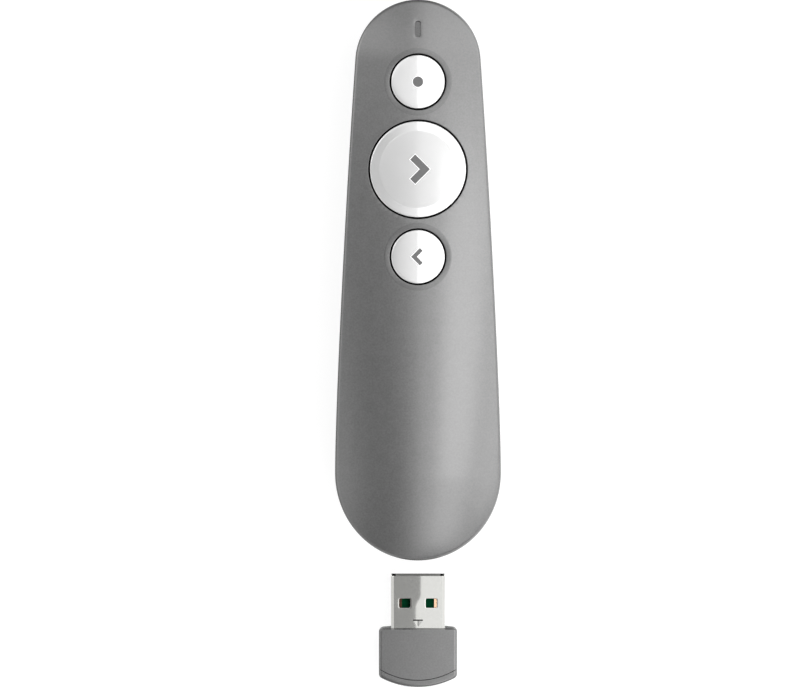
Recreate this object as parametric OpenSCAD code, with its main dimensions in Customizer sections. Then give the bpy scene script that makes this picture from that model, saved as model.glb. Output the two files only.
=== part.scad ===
// Wireless presentation clicker with its plug-in receiver.
// Y runs along the remote, from the rounded tail (-Y) to the tip that the laser leaves (+Y).
// Z is up, with the buttons on top. The origin is on the flat underside, straight below
// the centre of the large button.

/* [Casing] */
// Length of the remote
body_length = 125; // [113:0.5:137]
// Greatest width, near the tail
body_width = 37; // [35:0.5:41]
// Radius of the tip, seen from above
tip_radius = 14; // [13:0.25:16]
// Length of the rounded tail, from the widest point to the end
tail_length = 19.5; // [17:0.5:24]
// How far the side runs nearly straight from the widest point
tail_pull = 15; // [8:1:22]
// How far the side runs nearly straight back from the tip
tip_pull = 30; // [20:1:36]
// Angle at which the side meets the tip
tip_flare = 4; // [2:0.5:6]
// Distance from the tip to the centre of the large button
button_place = 37.8; // [37:0.1:41]
// Height of the crown at its highest
body_height = 25; // [22.5:0.25:27.5]
// Distance of the highest point behind the large button
peak_behind = 34; // [20:1:45]
// Fall of the crown line towards the tip
tip_fall = 3; // [1.6:0.1:3.3]
// Fall of the crown line towards the tail
tail_fall = 3.2; // [2:0.1:4]
// Fall from the crown line to the side at the tip
tip_crown = 1.6; // [1.2:0.1:2]
// Fall from the crown line to the side at the tail
tail_crown = 4.8; // [3.5:0.1:5.5]
// Radius of the edge between crown and side
edge_radius = 0.6; // [0.3:0.1:1.2]
// Radius of the edge between side and underside
base_radius = 3.25; // [2.5:0.25:3.5]
// How far the side tucks in on its way down to the underside
side_tuck = 2; // [0:0.1:2.2]
// Rise of the underside at the tip
tip_lift = 4; // [0:0.25:4.5]
// Distance in front of the large button where that rise starts
keel_start = 6; // [4:0.5:12]
// Wall of the sides and the crown
wall = 1.8; // [1.5:0.1:2]
// Thickness of the floor
floor_wall = 1.8; // [1.8:0.1:2]
// Width and depth of the groove where the shells meet
seam = 0.25; // [0.15:0.05:0.4]
// Height of the lip that locates the shells
lip_height = 1; // [0.6:0.1:1.4]

/* [Buttons] */
// Distance between the centres of neighbouring buttons
button_pitch = 19.5; // [19.3:0.1:20.5]
// Radius of the large button
big_radius = 10.7; // [9.5:0.1:10.8]
// Radius of the two small buttons
small_radius = 5.95; // [5.5:0.05:6.1]
// Gap round a button
button_gap = 0.39; // [0.25:0.01:0.45]
// Height of a button above the crown line
button_proud = 0.35; // [0.1:0.05:0.6]
// Travel of the large button
big_travel = 0.45; // [0.3:0.05:0.5]
// Travel of the small buttons
small_travel = 0.35; // [0.25:0.05:0.45]
// Wall of a button's cap
cap_wall = 1.2; // [0.9:0.1:1.4]
// How far the retaining flange stands out beyond the cap
flange_reach = 0.8; // [0.6:0.05:0.9]
// Thickness of the retaining flange
flange_thick = 0.8; // [0.6:0.05:0.9]
// Depth of the flange's seat below the crown line
seat_depth = 2.2; // [2.1:0.05:2.4]
// Wall of the collar that guides a flange
collar_wall = 0.8; // [0.6:0.1:1]
// Radius of the round pad inside the large button's rim
pad_radius = 8.6; // [7.5:0.1:9.2]
// Depth of that pad's edge below the rim
pad_depth = 0.3; // [0.2:0.05:0.5]
// Rise of that pad from its edge to its middle
pad_rise = 0.2; // [0.1:0.05:0.3]
// Radius of the ring recess round each small button
ring_radius = 7.3; // [7:0.05:7.6]
// Depth of that ring recess
ring_depth = 0.3; // [0.2:0.05:0.5]
// Radius of the post that presses the switch
post_radius = 1.6; // [1.2:0.1:1.8]
// Radius of the dot icon
dot_radius = 1.17; // [0.8:0.01:1.6]
// Reach of the large chevron's arms
big_chevron = 3.32; // [2.5:0.05:3.6]
// Reach of the small chevron's arms
small_chevron = 1.94; // [1.4:0.05:2.2]
// Width of the large chevron's stroke
big_stroke = 1.64; // [1.2:0.05:1.8]
// Width of the small chevron's stroke
small_stroke = 0.86; // [0.6:0.02:1]
// Thickness of the icons
icon_depth = 0.5; // [0.3:0.05:0.7]

/* [Light and laser] */
// Distance from the tip to the centre of the light slot
slot_place = 6.5; // [6:0.1:7]
// Length of the light slot
slot_length = 3.6; // [3:0.1:4]
// Width of the light slot
slot_width = 1.37; // [1.1:0.01:1.6]
// Depth of the light pipe below the crown
slot_sink = 0.3; // [0.1:0.05:0.4]
// Radius of the laser barrel
barrel_radius = 3; // [2.8:0.05:3.05]
// Length of the laser barrel
barrel_length = 12; // [10:0.5:13]
// Radius of the opening in the tip
window_radius = 2.35; // [2:0.05:2.6]

/* [Board] */
// Thickness of the circuit board
board_thick = 1; // [0.8:0.1:1.1]
// Height of a switch body
switch_height = 1.1; // [1:0.05:1.2]
// Width of a switch body
switch_width = 4.5; // [4:0.1:5]
// Height of a switch plunger above its body
plunger_rise = 0.5; // [0.5:0.05:0.6]
// Radius of a switch plunger
plunger_radius = 0.85; // [0.7:0.05:1]
// Thickness of the button frame
frame_thick = 0.6; // [0.5:0.05:0.7]
// Gap between the frame and the switches below it
frame_gap = 0.3; // [0.2:0.05:0.4]
// Side of the radio chip
chip_side = 5; // [4:0.5:6]
// Length of the crystal's can
crystal_length = 3.2; // [2:0.1:3.5]
// Length of the smallest components
chip_part = 1; // [0.6:0.1:1.6]

/* [Batteries] */
// Diameter of a cell
cell_diameter = 10.5; // [10.3:0.1:10.5]
// Length of a cell with its button end
cell_length = 44.5; // [43.5:0.1:44.5]
// Gap between the cells
cell_gap = 0.3; // [0.2:0.05:0.5]
// Thickness of the bay's walls
bay_wall = 1; // [0.8:0.1:1]
// Room for a pressed contact spring
spring_room = 2.8; // [2.4:0.1:3.2]
// Radius of a contact spring at its plate
spring_radius = 3.4; // [2.8:0.1:4]
// Radius of its wire
spring_wire = 0.25; // [0.2:0.01:0.3]
// Thickness of the door
door_thick = 1.4; // [1.3:0.05:1.4]
// Width of the ledge that the door lies on
door_ledge = 0.9; // [0.7:0.05:0.9]
// Gap round the door
door_gap = 0.15; // [0.1:0.01:0.2]

/* [Receiver] */
// Width of the receiver's housing
receiver_width = 17.4; // [16.5:0.1:17.5]
// Height of the receiver's housing
receiver_height = 6.6; // [6.2:0.1:6.8]
// Length of the receiver's housing
receiver_length = 13.9; // [12.5:0.1:14.2]
// Length of the plug in front of the housing
plug_length = 11.4; // [11.1:0.1:12.2]
// Distance between the tail and the plug when the receiver is out
receiver_gap = 2.9; // [1:0.1:6]
// Height of the receiver's underside above the table
receiver_lift = 2.3; // [2.2:0.1:2.6]
// Thickness of the receiver's end cap
end_cap = 1.5; // [1.2:0.1:2]
// Radius of the receiver's long edges
receiver_edge = 0.6; // [0.4:0.1:0.9]
// How far the top of the housing's front leans back
front_set = 1.1; // [0.8:0.05:1.3]
// How far inside the tail's overhang the docked receiver ends
dock_inset = 1; // [0:0.1:1.5]
// Gap round the receiver in its dock
dock_gap = 0.2; // [0.15:0.01:0.25]
// Length of the plug's gold contacts
contact_length = 7.6; // [6.5:0.1:8]
// Width of the outer contacts
outer_contact = 1.5; // [1.2:0.05:1.6]
// Width of the inner contacts
inner_contact = 1; // [0.8:0.05:1.1]

/* [Hidden] */

casing_grey = [0.47, 0.47, 0.47];
icon_grey = [0.5, 0.5, 0.5];
smoke = [0.08, 0.08, 0.09];
board_green = [0.03, 0.3, 0.16];
steel = [0.75, 0.76, 0.77];
gold = [0.83, 0.64, 0.3];

// Plan outline
half_width = body_width / 2;
tip_end = button_place;
tail_end = tip_end - body_length;
tail_centre = tail_end + tail_length;
tip_centre = tip_end - tip_radius;
tip_joint = [tip_radius * cos(tip_flare), tip_centre + tip_radius * sin(tip_flare)];
tail_joint = [half_width, tail_centre];
tail_handle = tail_joint + [0, tail_pull];
tip_handle = tip_joint - tip_pull * [-sin(tip_flare), cos(tip_flare)];
tail_steps = 13;
side_steps = 12;
tip_steps = 13;
edge_steps = 4;
base_steps = 6;
tuck_steps = 3;
crown_steps = [0.88, 0.75, 0.6, 0.45, 0.3, 0.15, 0.04];
crown_blend = 1.8;

function mix(a, b, s) = a + (b - a) * s;
function side_point(s) =
    pow(1 - s, 3) * tail_joint + 3 * s * pow(1 - s, 2) * tail_handle
    + 3 * s * s * (1 - s) * tip_handle + pow(s, 3) * tip_joint;
function side_spine(y) =
    [0, mix(tail_centre, tip_centre, (y - tail_centre) / (tip_joint.y - tail_centre))];

// Right half of the outline, tail to tip: each entry is a point and its foot on the middle line
right_half = concat(
    [for (i = [0:tail_steps]) let (a = -90 + 90 * i / tail_steps)
        [[half_width * cos(a), tail_centre + tail_length * sin(a)], [0, tail_centre]]],
    [for (i = [1:side_steps]) let (p = side_point(i / side_steps)) [p, side_spine(p.y)]],
    [for (i = [1:tip_steps]) let (a = tip_flare + (90 - tip_flare) * i / tip_steps)
        [[tip_radius * cos(a), tip_centre + tip_radius * sin(a)], [0, tip_centre]]]);
half_count = len(right_half);
ring_count = 2 * half_count - 2;
outline = concat(right_half,
    [for (i = [half_count - 2:-1:1]) let (e = right_half[i]) [[-e[0].x, e[0].y], e[1]]]);
side_widths = [for (e = right_half) [e[0].y, e[0].x]];

// Joint between the shells, just above the ceiling of the dock
parting_height = receiver_lift + receiver_height + dock_gap + bay_wall + 0.1;
base_top = parting_height - seam;

// Crown: its line along the middle, and its fall from there to the side
peak = -peak_behind;
function fall_share(y) = y > peak ? pow((y - peak) / (tip_end - peak), 2)
    : pow((peak - y) / (peak - tail_end), 2);
function crown_line(y) = body_height - (y > peak ? tip_fall : tail_fall) * fall_share(y);
function crown_fall(y) =
    mix(tip_crown, tail_crown, pow(max(0, (tip_end - y) / body_length), crown_blend));
function roof(p, t) = crown_line(p.y) - crown_fall(p.y) * t * t;
function end_share(y) = max(0, (y - tip_centre) / tip_radius, (tail_centre - y) / tail_length);
function middle_line(y) = roof([0, y], end_share(y));
function middle_tilt(y) = atan((middle_line(y + 0.01) - middle_line(y - 0.01)) / 0.02);
function roll_radius(y) = pow(lookup(y, side_widths), 2) / (2 * crown_fall(y));

// Rings of points: a distance in from the outline, or a share of the way out from the middle
function inset_point(e, d) = e[1] + (1 - d / norm(e[0] - e[1])) * (e[0] - e[1]);
function flat_ring(d, z) = [for (e = outline) let (p = inset_point(e, d)) [p.x, p.y, z]];
function roof_ring(d, sink) = [for (e = outline)
    let (p = inset_point(e, d), t = 1 - d / norm(e[0] - e[1])) [p.x, p.y, roof(p, t) - sink]];
function share_ring(t, sink) = [for (e = outline)
    let (p = mix(e[1], e[0], t)) [p.x, p.y, roof(p, t) - sink]];
function inset_outline(d) = [for (e = outline) inset_point(e, d)];

// Below the crown's lowest edge the side tucks in, and the underside rises to the tip
tuck_top = body_height - tail_fall - tail_crown;
function tuck(h) = side_tuck * pow(max(0, 1 - h / tuck_top), 2);
function lift(y) = tip_lift * pow(max(0, (y - keel_start) / (tip_end - keel_start)), 2);
function keel_ring(d, h, low) = [for (e = outline) let (p = inset_point(e, d + tuck(h)))
    [p.x, p.y, h + lift(p.y) * max(0, 1 - (h - low) / (base_top - low))]];

top_rings = concat(
    [for (i = [0:tuck_steps]) let (h = mix(parting_height, tuck_top - edge_radius - 0.1,
        i / tuck_steps)) flat_ring(tuck(h), h)],
    [for (i = [0:edge_steps]) let (a = 90 * i / edge_steps)
        roof_ring(edge_radius * (1 - cos(a)), edge_radius * (1 - sin(a)))],
    [for (t = crown_steps) share_ring(t, 0)]);
hollow_rings = concat(
    [for (h = [parting_height - 1, parting_height, mix(parting_height, tuck_top - wall, 0.6)])
        flat_ring(wall + tuck(max(h, parting_height)), h)],
    [roof_ring(wall, wall)],
    [for (t = [0.7, 0.5, 0.25, 0.04]) share_ring(t, wall)]);
base_rings = concat(
    [for (i = [0:base_steps]) let (a = 90 * i / base_steps)
        keel_ring(base_radius * (1 - sin(a)), base_radius * (1 - cos(a)), 0)],
    [for (i = [1:tuck_steps]) keel_ring(0, mix(base_radius, base_top, i / tuck_steps), 0)],
    [for (h = [base_top, parting_height]) flat_ring(tuck(base_top) + seam, h)]);
basin_radius = base_radius - wall;
basin_rings = concat(
    [for (i = [0:2]) let (a = 45 * i)
        keel_ring(wall + basin_radius * (1 - sin(a)), floor_wall + basin_radius * (1 - cos(a)),
                  floor_wall)],
    [keel_ring(wall, mix(floor_wall + basin_radius, base_top, 0.5), floor_wall),
     keel_ring(wall, base_top, floor_wall),
     flat_ring(wall + tuck(base_top), parting_height + 1)]);
lip_line = tuck(parting_height) + wall / 2;

// Heights inside, from the door up
cell_radius = cell_diameter / 2;
cell_nub = 0.8;
cell_nub_radius = 1.9;
cell_edge = 0.3;
cell_place = cell_radius + cell_gap / 2;
cell_height = floor_wall + cell_radius;
bay_clearance = 0.25;
bay_half = cell_diameter + cell_gap / 2 + bay_clearance;
bay_ceiling = cell_height + cell_radius + bay_clearance;
barrel_gap = 0.25;
board_height = max(bay_ceiling + bay_wall - 0.1, parting_height + barrel_radius + barrel_gap);
board_top = board_height + board_thick;
switch_top = board_top + switch_height;
plunger_top = switch_top + plunger_rise;
frame_height = switch_top + frame_gap;
frame_top = frame_height + frame_thick;
well_floor = 0.1;
plunger_rest = 0.1;
plunger_gap = 0.08;
press_gap = 0.05;
post_gap = 0.1;

// Where a button's post, square to the crown, meets its switch
function foot_y(y) = y + (middle_line(y) - plunger_top) * tan(middle_tilt(y));

// How far the button at y goes down, its plunger with it
function travel(y) = y == 0 ? big_travel : small_travel;

// Places along the remote
receiver_half = receiver_width / 2;
dock_spare = 0.7;
dock_depth = plug_length + receiver_length + dock_inset + dock_spare;
dock_end = tail_end + dock_depth;
bay_start = dock_end + bay_wall;
plate_thick = 0.4;
bay_end = bay_start + 2 * plate_thick + spring_room + cell_length;
hinge_y = bay_start + 0.1;
hinge_z = door_thick / 2;
door_half = bay_half + door_ledge - door_gap;
door_front = bay_end + door_ledge;
pin_radius = 0.45;
pin_length = 1;
pin_gap = 0.06;
catch_rise = 0.7;
laser_y = button_pitch;
back_y = -button_pitch;
slot_y = tip_end - slot_place;
window_flange = 0.8;
window_gap = 0.03;
barrel_fit = 0.02;
window_back = tip_end - wall - tuck(parting_height - barrel_radius) - window_flange - 0.45;
window_front = tip_end - tuck(parting_height - window_radius) - 0.4;
barrel_front = window_back - 1.6;
barrel_back = barrel_front - barrel_length;
barrel_bore = barrel_radius - 0.7;

// Screws: bosses beside the dock and beside the laser button
boss_radius = 2.8;
screw_well = 2.1;
screw_seat = 6;
screw_head = 1.9;
head_height = 1.4;
screw_shank = 0.95;
screw_end = screw_seat + 8.5;
cross_slot = [2.2, 0.4];
rear_boss = [receiver_half + dock_gap + bay_wall + screw_well + 0.4, tail_centre - 2.5];
front_boss_y = laser_y - 4.2;
front_boss = [lookup(front_boss_y, side_widths) - wall - boss_radius - tuck(base_radius),
              front_boss_y];
bosses = [rear_boss, [-rear_boss.x, rear_boss.y], front_boss, [-front_boss.x, front_boss.y]];

// Board outline: wide behind, narrow between the front bosses, narrower over the laser
board_back = back_y - 9;
board_neck = front_boss.y - 7;
board_front = tip_end - 4.5;
board_wide = bay_half - 0.1;
board_mid = front_boss.x - boss_radius - 0.4;
board_nose = 4.6;
nose_start = laser_y + 6;
peg_radius = 0.7;
peg_base = 0.8 * floor_wall;
chip_thick = 0.8;
chip_y = back_y / 2;
peg_places = [[-board_mid + 1.6, nose_start - 8.5], [board_mid - 1.6, nose_start - 8.5]];

// Receiver, drawn out of its dock
plug_tip = tail_end - receiver_gap;
plug_back = plug_tip - plug_length;
receiver_end = plug_back - receiver_length;
end_radius = half_width * half_width / tail_length;
end_centre = receiver_end + end_radius;
receiver_middle = receiver_lift + receiver_height / 2;
receiver_corner = 1.05;
front_bulge = 0.5;
front_radius = (receiver_half * receiver_half + front_bulge * front_bulge) / (2 * front_bulge);
plug_width = 12;
plug_height = 4.5;
plug_sheet = 0.3;
plug_corner = 0.6;
plug_root = 3;
plug_window = [2.5, 2.05];
window_place = [2.97, 6.6];
tongue_thick = 1.9;
tongue_width = plug_width - 2 * plug_corner;
tongue_bottom = receiver_middle - plug_height / 2 + plug_sheet;
tongue_top = tongue_bottom + tongue_thick;
tongue_back = receiver_end + end_cap + 2.6;
strip_thick = 0.12;
outer_strip = [4.35, 1.5];
inner_strip = [1, 2.4];
chip_size = [4, 4, 0.9];

module loft(rings) {
    n = ring_count;
    last = (len(rings) - 1) * n;
    sides = [for (k = [0:len(rings) - 2]) for (i = [0:n - 1])
        let (a = k * n + i, b = k * n + (i + 1) % n) each [[a, a + n, b + n], [a, b + n, b]]];
    caps = [for (i = [0:half_count - 2])
        let (a = i, b = i + 1, c = n - b, d = (n - a) % n)
            each concat(
                i == half_count - 2 ? [] : [[a, b, c]],
                i == 0 ? [] : [[a, i == half_count - 2 ? b : c, d]],
                i == half_count - 2 ? [] : [[last + a, last + c, last + b]],
                i == 0 ? [] : [[last + a, last + d, last + (i == half_count - 2 ? b : c)]])];
    polyhedron(points = [for (r = rings) each r], faces = concat(sides, caps), convexity = 8);
}

// Moves a shape onto the crown line, tilted with it
module on_crown(y) {
    translate([0, y, middle_line(y)]) rotate([middle_tilt(y), 0, 0]) children();
}

// Round bar along the remote whose top follows the crown across a button
module crown_roll(y, rise) {
    r = roll_radius(y);
    translate([0, 0, rise - r]) rotate([90, 0, 0])
        cylinder(r = r, h = 2 * big_radius + 4, center = true, $fn = 360);
}

// Rod with round ends, its length along Y
module stadium(length, width, height) {
    for (s = [-1, 1]) translate([0, s * (length - width) / 2, 0])
        cylinder(d = width, h = height, $fn = 48);
    translate([-width / 2, -(length - width) / 2, 0])
        cube([width, length - width, height]);
}

// Flat plate with round corners
module rounded_plate(x0, x1, y0, y1, r, h) {
    for (x = [x0 + r, x1 - r]) for (y = [y0 + r, y1 - r])
        translate([x, y, 0]) cylinder(r = r, h = h, $fn = 48);
    translate([x0 + r, y0, 0]) cube([x1 - x0 - 2 * r, y1 - y0, h]);
    translate([x0, y0 + r, 0]) cube([x1 - x0, y1 - y0 - 2 * r, h]);
}

module along_y(y, z) {
    translate([0, y, z]) rotate([-90, 0, 0]) children();
}

// Casing

module button_hole(y, r, ring) {
    on_crown(y) {
        translate([0, 0, -seat_depth - 5]) cylinder(r = r + button_gap, h = 8, $fn = 128);
        translate([0, 0, -seat_depth - 8])
            cylinder(r = r + flange_reach + door_gap, h = 8, $fn = 128);
        if (ring) difference() {
            translate([0, 0, -1.5]) cylinder(r = ring_radius, h = 3, $fn = 128);
            crown_roll(y, -ring_depth);
        }
    }
}

module guide_collar(y, r) {
    outer = r + flange_reach + door_gap + collar_wall;
    translate([0, y, frame_top]) cylinder(r = outer, h = body_height - frame_top, $fn = 96);
}

module top_shell() color(casing_grey) difference() {
    union() {
        difference() {
            loft(top_rings);
            loft(hollow_rings);
            translate([0, 0, parting_height - 1])
                linear_extrude(lip_height + 1.1) polygon(inset_outline(lip_line + 0.05));
        }
        intersection() {
            loft(top_rings);
            union() {
                for (b = bosses) translate([b.x, b.y, parting_height])
                    cylinder(r = boss_radius, h = body_height, $fn = 48);
                guide_collar(0, big_radius);
                guide_collar(laser_y, small_radius);
                guide_collar(back_y, small_radius);
                for (y = [bay_start + 4, bay_start + 20]) crown_rib(y);
            }
        }
    }
    button_hole(0, big_radius, false);
    button_hole(laser_y, small_radius, true);
    button_hole(back_y, small_radius, true);
    on_crown(slot_y) translate([0, 0, -5]) stadium(slot_length, slot_width, 8);
    laser_space();
    for (b = bosses) translate([b.x, b.y, parting_height - 1])
        cylinder(r = screw_shank, h = screw_end - parting_height + 1, $fn = 32);
}

// Room for the laser barrel, its leads and its window
module laser_space() {
    along_y(window_back - 2, parting_height)
        cylinder(r = window_radius + window_gap, h = 10, $fn = 64);
    along_y(barrel_back - 6, parting_height)
        cylinder(r = barrel_radius + barrel_fit, h = window_back - barrel_back + 6, $fn = 64);
}

module crown_rib(y) {
    difference() {
        translate([-half_width, y - 0.5, parting_height + 4]) cube([body_width, 1, body_height]);
        translate([-board_wide - 0.6, y - 1, 0])
            cube([2 * board_wide + 1.2, 2, body_height - wall - 2.5]);
    }
}

module bottom_shell() color(casing_grey) difference() {
    union() {
        difference() {
            loft(base_rings);
            loft(basin_rings);
        }
        difference() {
            translate([0, 0, parting_height - 2])
                linear_extrude(lip_height + 2) polygon(inset_outline(lip_line + 0.15));
            translate([0, 0, parting_height - 3])
                linear_extrude(lip_height + 4) polygon(inset_outline(lip_line + wall / 2));
        }
        intersection() {
            loft(base_rings);
            union() {
                bay_block(parting_height - 0.5);
                // Dock
                translate([-receiver_half - dock_gap - bay_wall, tail_end, 0.5])
                    cube([receiver_width + 2 * (dock_gap + bay_wall), dock_depth + bay_wall,
                          receiver_lift + receiver_height + dock_gap + bay_wall - 0.5]);
                // Screw bosses
                for (b = bosses) translate([b.x, b.y, 0.5])
                    cylinder(r = boss_radius, h = parting_height - 0.5, $fn = 48);
                // Saddles for the laser barrel
                for (y = [barrel_back + 2, barrel_front - 2])
                    translate([-board_nose, y - 0.6, 0.5])
                        cube([2 * board_nose, 1.2, parting_height - 0.5]);
                // Floor ribs
                for (y = [bay_end + 6, board_neck + 1])
                    translate([-half_width, y - 0.5, 0.5]) cube([body_width, 1, 3.5]);
            }
        }
        bay_block(board_height - 0.5);
        // Pegs that carry and place the board
        for (p = peg_places) translate([p.x, p.y, peg_base]) {
            cylinder(r = peg_radius + 0.9, h = board_height - peg_base, $fn = 32);
            cylinder(r = peg_radius, h = board_top + 0.4 - peg_base, $fn = 32);
        }
        // Sides of the hinge, thick enough for the pivot sockets
        for (s = [-1, 1]) translate([s * (door_half + 1.3) - 1.1, hinge_y - 1.6, 0.6])
            cube([2.2, 3.2, floor_wall]);
    }
    // Inside of the bay, open to the underside
    translate([-bay_half, bay_start, -1])
        cube([2 * bay_half, bay_end - bay_start, bay_ceiling + 1]);
    // Seat of the door
    translate([0, 0, -1])
        rounded_plate(-door_half - door_gap, door_half + door_gap, hinge_y, door_front + door_gap,
                      1.2, door_thick + 1.1);
    hinge_space();
    // Slots for the contact tabs
    for (x = [-cell_place, cell_place])
        translate([x - 1.2, bay_end - plate_thick, bay_ceiling - 1])
            cube([2.4, plate_thick + 0.01, 4]);
    // Finger scoop in front of the door
    translate([0, door_front + 3.4, 0]) finger_scoop();
    dock_space();
    for (b = bosses) translate([b.x, b.y, -1]) {
        cylinder(r = screw_well, h = screw_seat + 1, $fn = 48);
        cylinder(r = screw_shank + 0.15, h = parting_height + 2, $fn = 32);
    }
    laser_space();
}

// Outside of the battery bay
module bay_block(height) {
    translate([-bay_half - bay_wall, bay_start - bay_wall, 0.5])
        cube([2 * (bay_half + bay_wall), bay_end - bay_start + 2 * bay_wall, height]);
}

// Room for the door's rounded hinge edge and its two pivot pins
module hinge_space() {
    translate([-door_half - door_gap, hinge_y, hinge_z]) rotate([0, 90, 0])
        cylinder(r = hinge_z + door_gap, h = 2 * (door_half + door_gap), $fn = 48);
    translate([-door_half - door_gap, hinge_y - hinge_z - door_gap, -1])
        cube([2 * (door_half + door_gap), 2 * (hinge_z + door_gap), hinge_z + 1]);
    translate([-door_half - pin_length - 0.2, hinge_y, hinge_z]) rotate([0, 90, 0])
        cylinder(r = pin_radius + pin_gap, h = 2 * (door_half + pin_length + 0.2), $fn = 48);
}

module finger_scoop() {
    translate([0, 0, -9.2]) sphere(r = 10, $fn = 96);
}

// Stepped slot for the receiver, its housing outside and its plug inside
module dock_space() {
    g = dock_gap;
    translate([-receiver_width / 2 - g, tail_end - 2, receiver_lift - g])
        cube([receiver_width + 2 * g, receiver_length + dock_inset + g + 2,
              receiver_height + 2 * g]);
    translate([-plug_width / 2 - g, tail_end, receiver_middle - plug_height / 2 - g])
        cube([plug_width + 2 * g, dock_depth, plug_height + 2 * g]);
}

module battery_door() color(casing_grey) {
    difference() {
        union() {
            difference() {
                rounded_plate(-door_half, door_half, hinge_y - 4, door_front, 1.05, door_thick);
                translate([-door_half - 1, hinge_y - 6, -1]) cube([2 * door_half + 2, 6, 4]);
            }
            translate([-door_half, hinge_y, hinge_z]) rotate([0, 90, 0])
                cylinder(r = hinge_z, h = 2 * door_half, $fn = 48);
            translate([-door_half - pin_length, hinge_y, hinge_z]) rotate([0, 90, 0])
                cylinder(r = pin_radius, h = 2 * (door_half + pin_length), $fn = 48);
            // Catch rib, just inside the front wall of the bay
            translate([-3, bay_end - 0.75, door_thick - 0.1]) cube([6, 0.7, catch_rise + 0.1]);
        }
        // Slits that free the catch tongue
        for (s = [-1, 1]) translate([s * 4.2 - 0.25, door_front - 7, -1]) cube([0.5, 6, 4]);
        // Grip grooves
        for (i = [0:3]) translate([-3, door_front - 1.8 - 1.3 * i, 0]) rotate([0, 90, 0])
            cylinder(r = 0.35, h = 6, $fn = 16);
    }
}

module housing_screws() color(steel) for (b = bosses) translate([b.x, b.y, 0]) difference() {
    union() {
        translate([0, 0, screw_seat - head_height])
            cylinder(r = screw_head, h = head_height, $fn = 48);
        translate([0, 0, screw_seat - 0.1])
            cylinder(r = screw_shank, h = screw_end - screw_seat - 0.1, $fn = 32);
    }
    for (a = [0, 90]) rotate([0, 0, a])
        translate([-cross_slot.x / 2, -cross_slot.y / 2, screw_seat - head_height - 0.6])
            cube([cross_slot.x, cross_slot.y, head_height]);
}

// Buttons, each drawn about its own centre on the crown line

module button_cap(y, r) {
    edge = 0.4;
    skirt = -seat_depth - press_gap;
    top = button_proud;
    inner = r - cap_wall;
    ceiling = top - inner * inner / (2 * roll_radius(y)) - 1.4;
    post_end = plunger_top + post_gap - middle_line(y);
    intersection() {
        rotate_extrude($fn = 128) {
            difference() {
                translate([0, ceiling]) square([r, top - ceiling]);
                translate([r - edge, top - edge]) square([edge + 1, edge + 1]);
            }
            translate([r - edge, top - edge]) circle(r = edge, $fn = 32);
            translate([inner, skirt - flange_thick])
                square([cap_wall, top - edge - skirt + flange_thick]);
            translate([inner, skirt - flange_thick])
                square([cap_wall + flange_reach, flange_thick]);
        }
        crown_roll(y, top);
    }
    translate([0, 0, post_end]) cylinder(r = post_radius, h = ceiling - post_end + 0.2, $fn = 48);
}

// Prism of an icon's outline, from the bottom of its pocket to above the cap
module icon_prism() {
    translate([0, 0, button_proud - icon_depth - 0.2]) linear_extrude(2) children();
}

// The icon itself, level with the cap
module icon(y) {
    intersection() {
        icon_prism() children();
        crown_roll(y, button_proud);
    }
}

module chevron(reach, stroke, shift) {
    s = stroke / sqrt(2);
    translate([shift, 0]) polygon([[reach, 0], [0, reach], [-s, reach - s], [reach - 2 * s, 0],
                                   [-s, s - reach], [0, -reach]]);
}

module dot_outline() {
    circle(r = dot_radius, $fn = 48);
}

module big_chevron_outline() {
    chevron(big_chevron, big_stroke, -0.62);
}

module small_chevron_outline() {
    mirror([1, 0]) chevron(small_chevron, small_stroke, -0.42);
}

// Shallow round recess in the large button, its floor crowned a little more than the rim
module pad_recess() {
    fall = pad_radius * pad_radius / (2 * roll_radius(0)) + pad_rise;
    r = (pad_radius * pad_radius + fall * fall) / (2 * fall);
    difference() {
        translate([0, 0, button_proud - 3]) cylinder(r = pad_radius, h = 5, $fn = 128);
        translate([0, 0, button_proud - pad_depth + pad_rise - r]) rotate([90, 0, 0])
            cylinder(r = r, h = 2 * big_radius, center = true, $fn = 360);
    }
}

module laser_button() color("white") on_crown(laser_y) difference() {
    button_cap(laser_y, small_radius);
    icon_prism() dot_outline();
}

module laser_dot() color(icon_grey) on_crown(laser_y) icon(laser_y) dot_outline();

module next_button() color("white") on_crown(0) difference() {
    button_cap(0, big_radius);
    icon_prism() big_chevron_outline();
    pad_recess();
}

module next_chevron() color(icon_grey) on_crown(0) difference() {
    icon(0) big_chevron_outline();
    pad_recess();
}

module back_button() color("white") on_crown(back_y) difference() {
    button_cap(back_y, small_radius);
    icon_prism() small_chevron_outline();
}

module back_chevron() color(icon_grey) on_crown(back_y) icon(back_y) small_chevron_outline();

module button_frame() color(smoke) difference() {
    union() {
        intersection() {
            translate([0, 0, frame_height]) linear_extrude(frame_thick)
                polygon(inset_outline(wall + 0.5));
            translate([-half_width, back_y - 8.5, 0])
                cube([body_width, laser_y - back_y + 17, body_height]);
        }
        for (y = [back_y - 7.2, laser_y + 5]) for (s = [-1, 1])
            translate([s * (board_mid - 0.9) - 0.6, y - 0.6, board_top])
                cube([1.2, 1.2, frame_height - board_top + 0.1]);
    }
    for (y = [back_y, 0, laser_y]) translate([0, foot_y(y), frame_height - 1])
        cylinder(r = post_radius + 0.3, h = 3, $fn = 48);
    for (b = bosses) translate([b.x, b.y, frame_height - 1])
        cylinder(r = boss_radius + 0.2, h = 3, $fn = 48);
}

// Light and laser

module led_window() color([0.35, 0.36, 0.36]) difference() {
    union() {
        on_crown(slot_y) translate([0, 0, -3]) stadium(slot_length, slot_width, 3 - slot_sink);
        on_crown(slot_y) translate([0, 0, -3]) stadium(slot_length + 1.6, slot_width + 1.6, 0.9);
        translate([0, slot_y, board_top + 0.8])
            stadium(slot_length, slot_width, middle_line(slot_y) - board_top - 3.4);
    }
    translate([-2, slot_y - 4, board_top - 1]) cube([4, 8, 1.8]);
}

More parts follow.
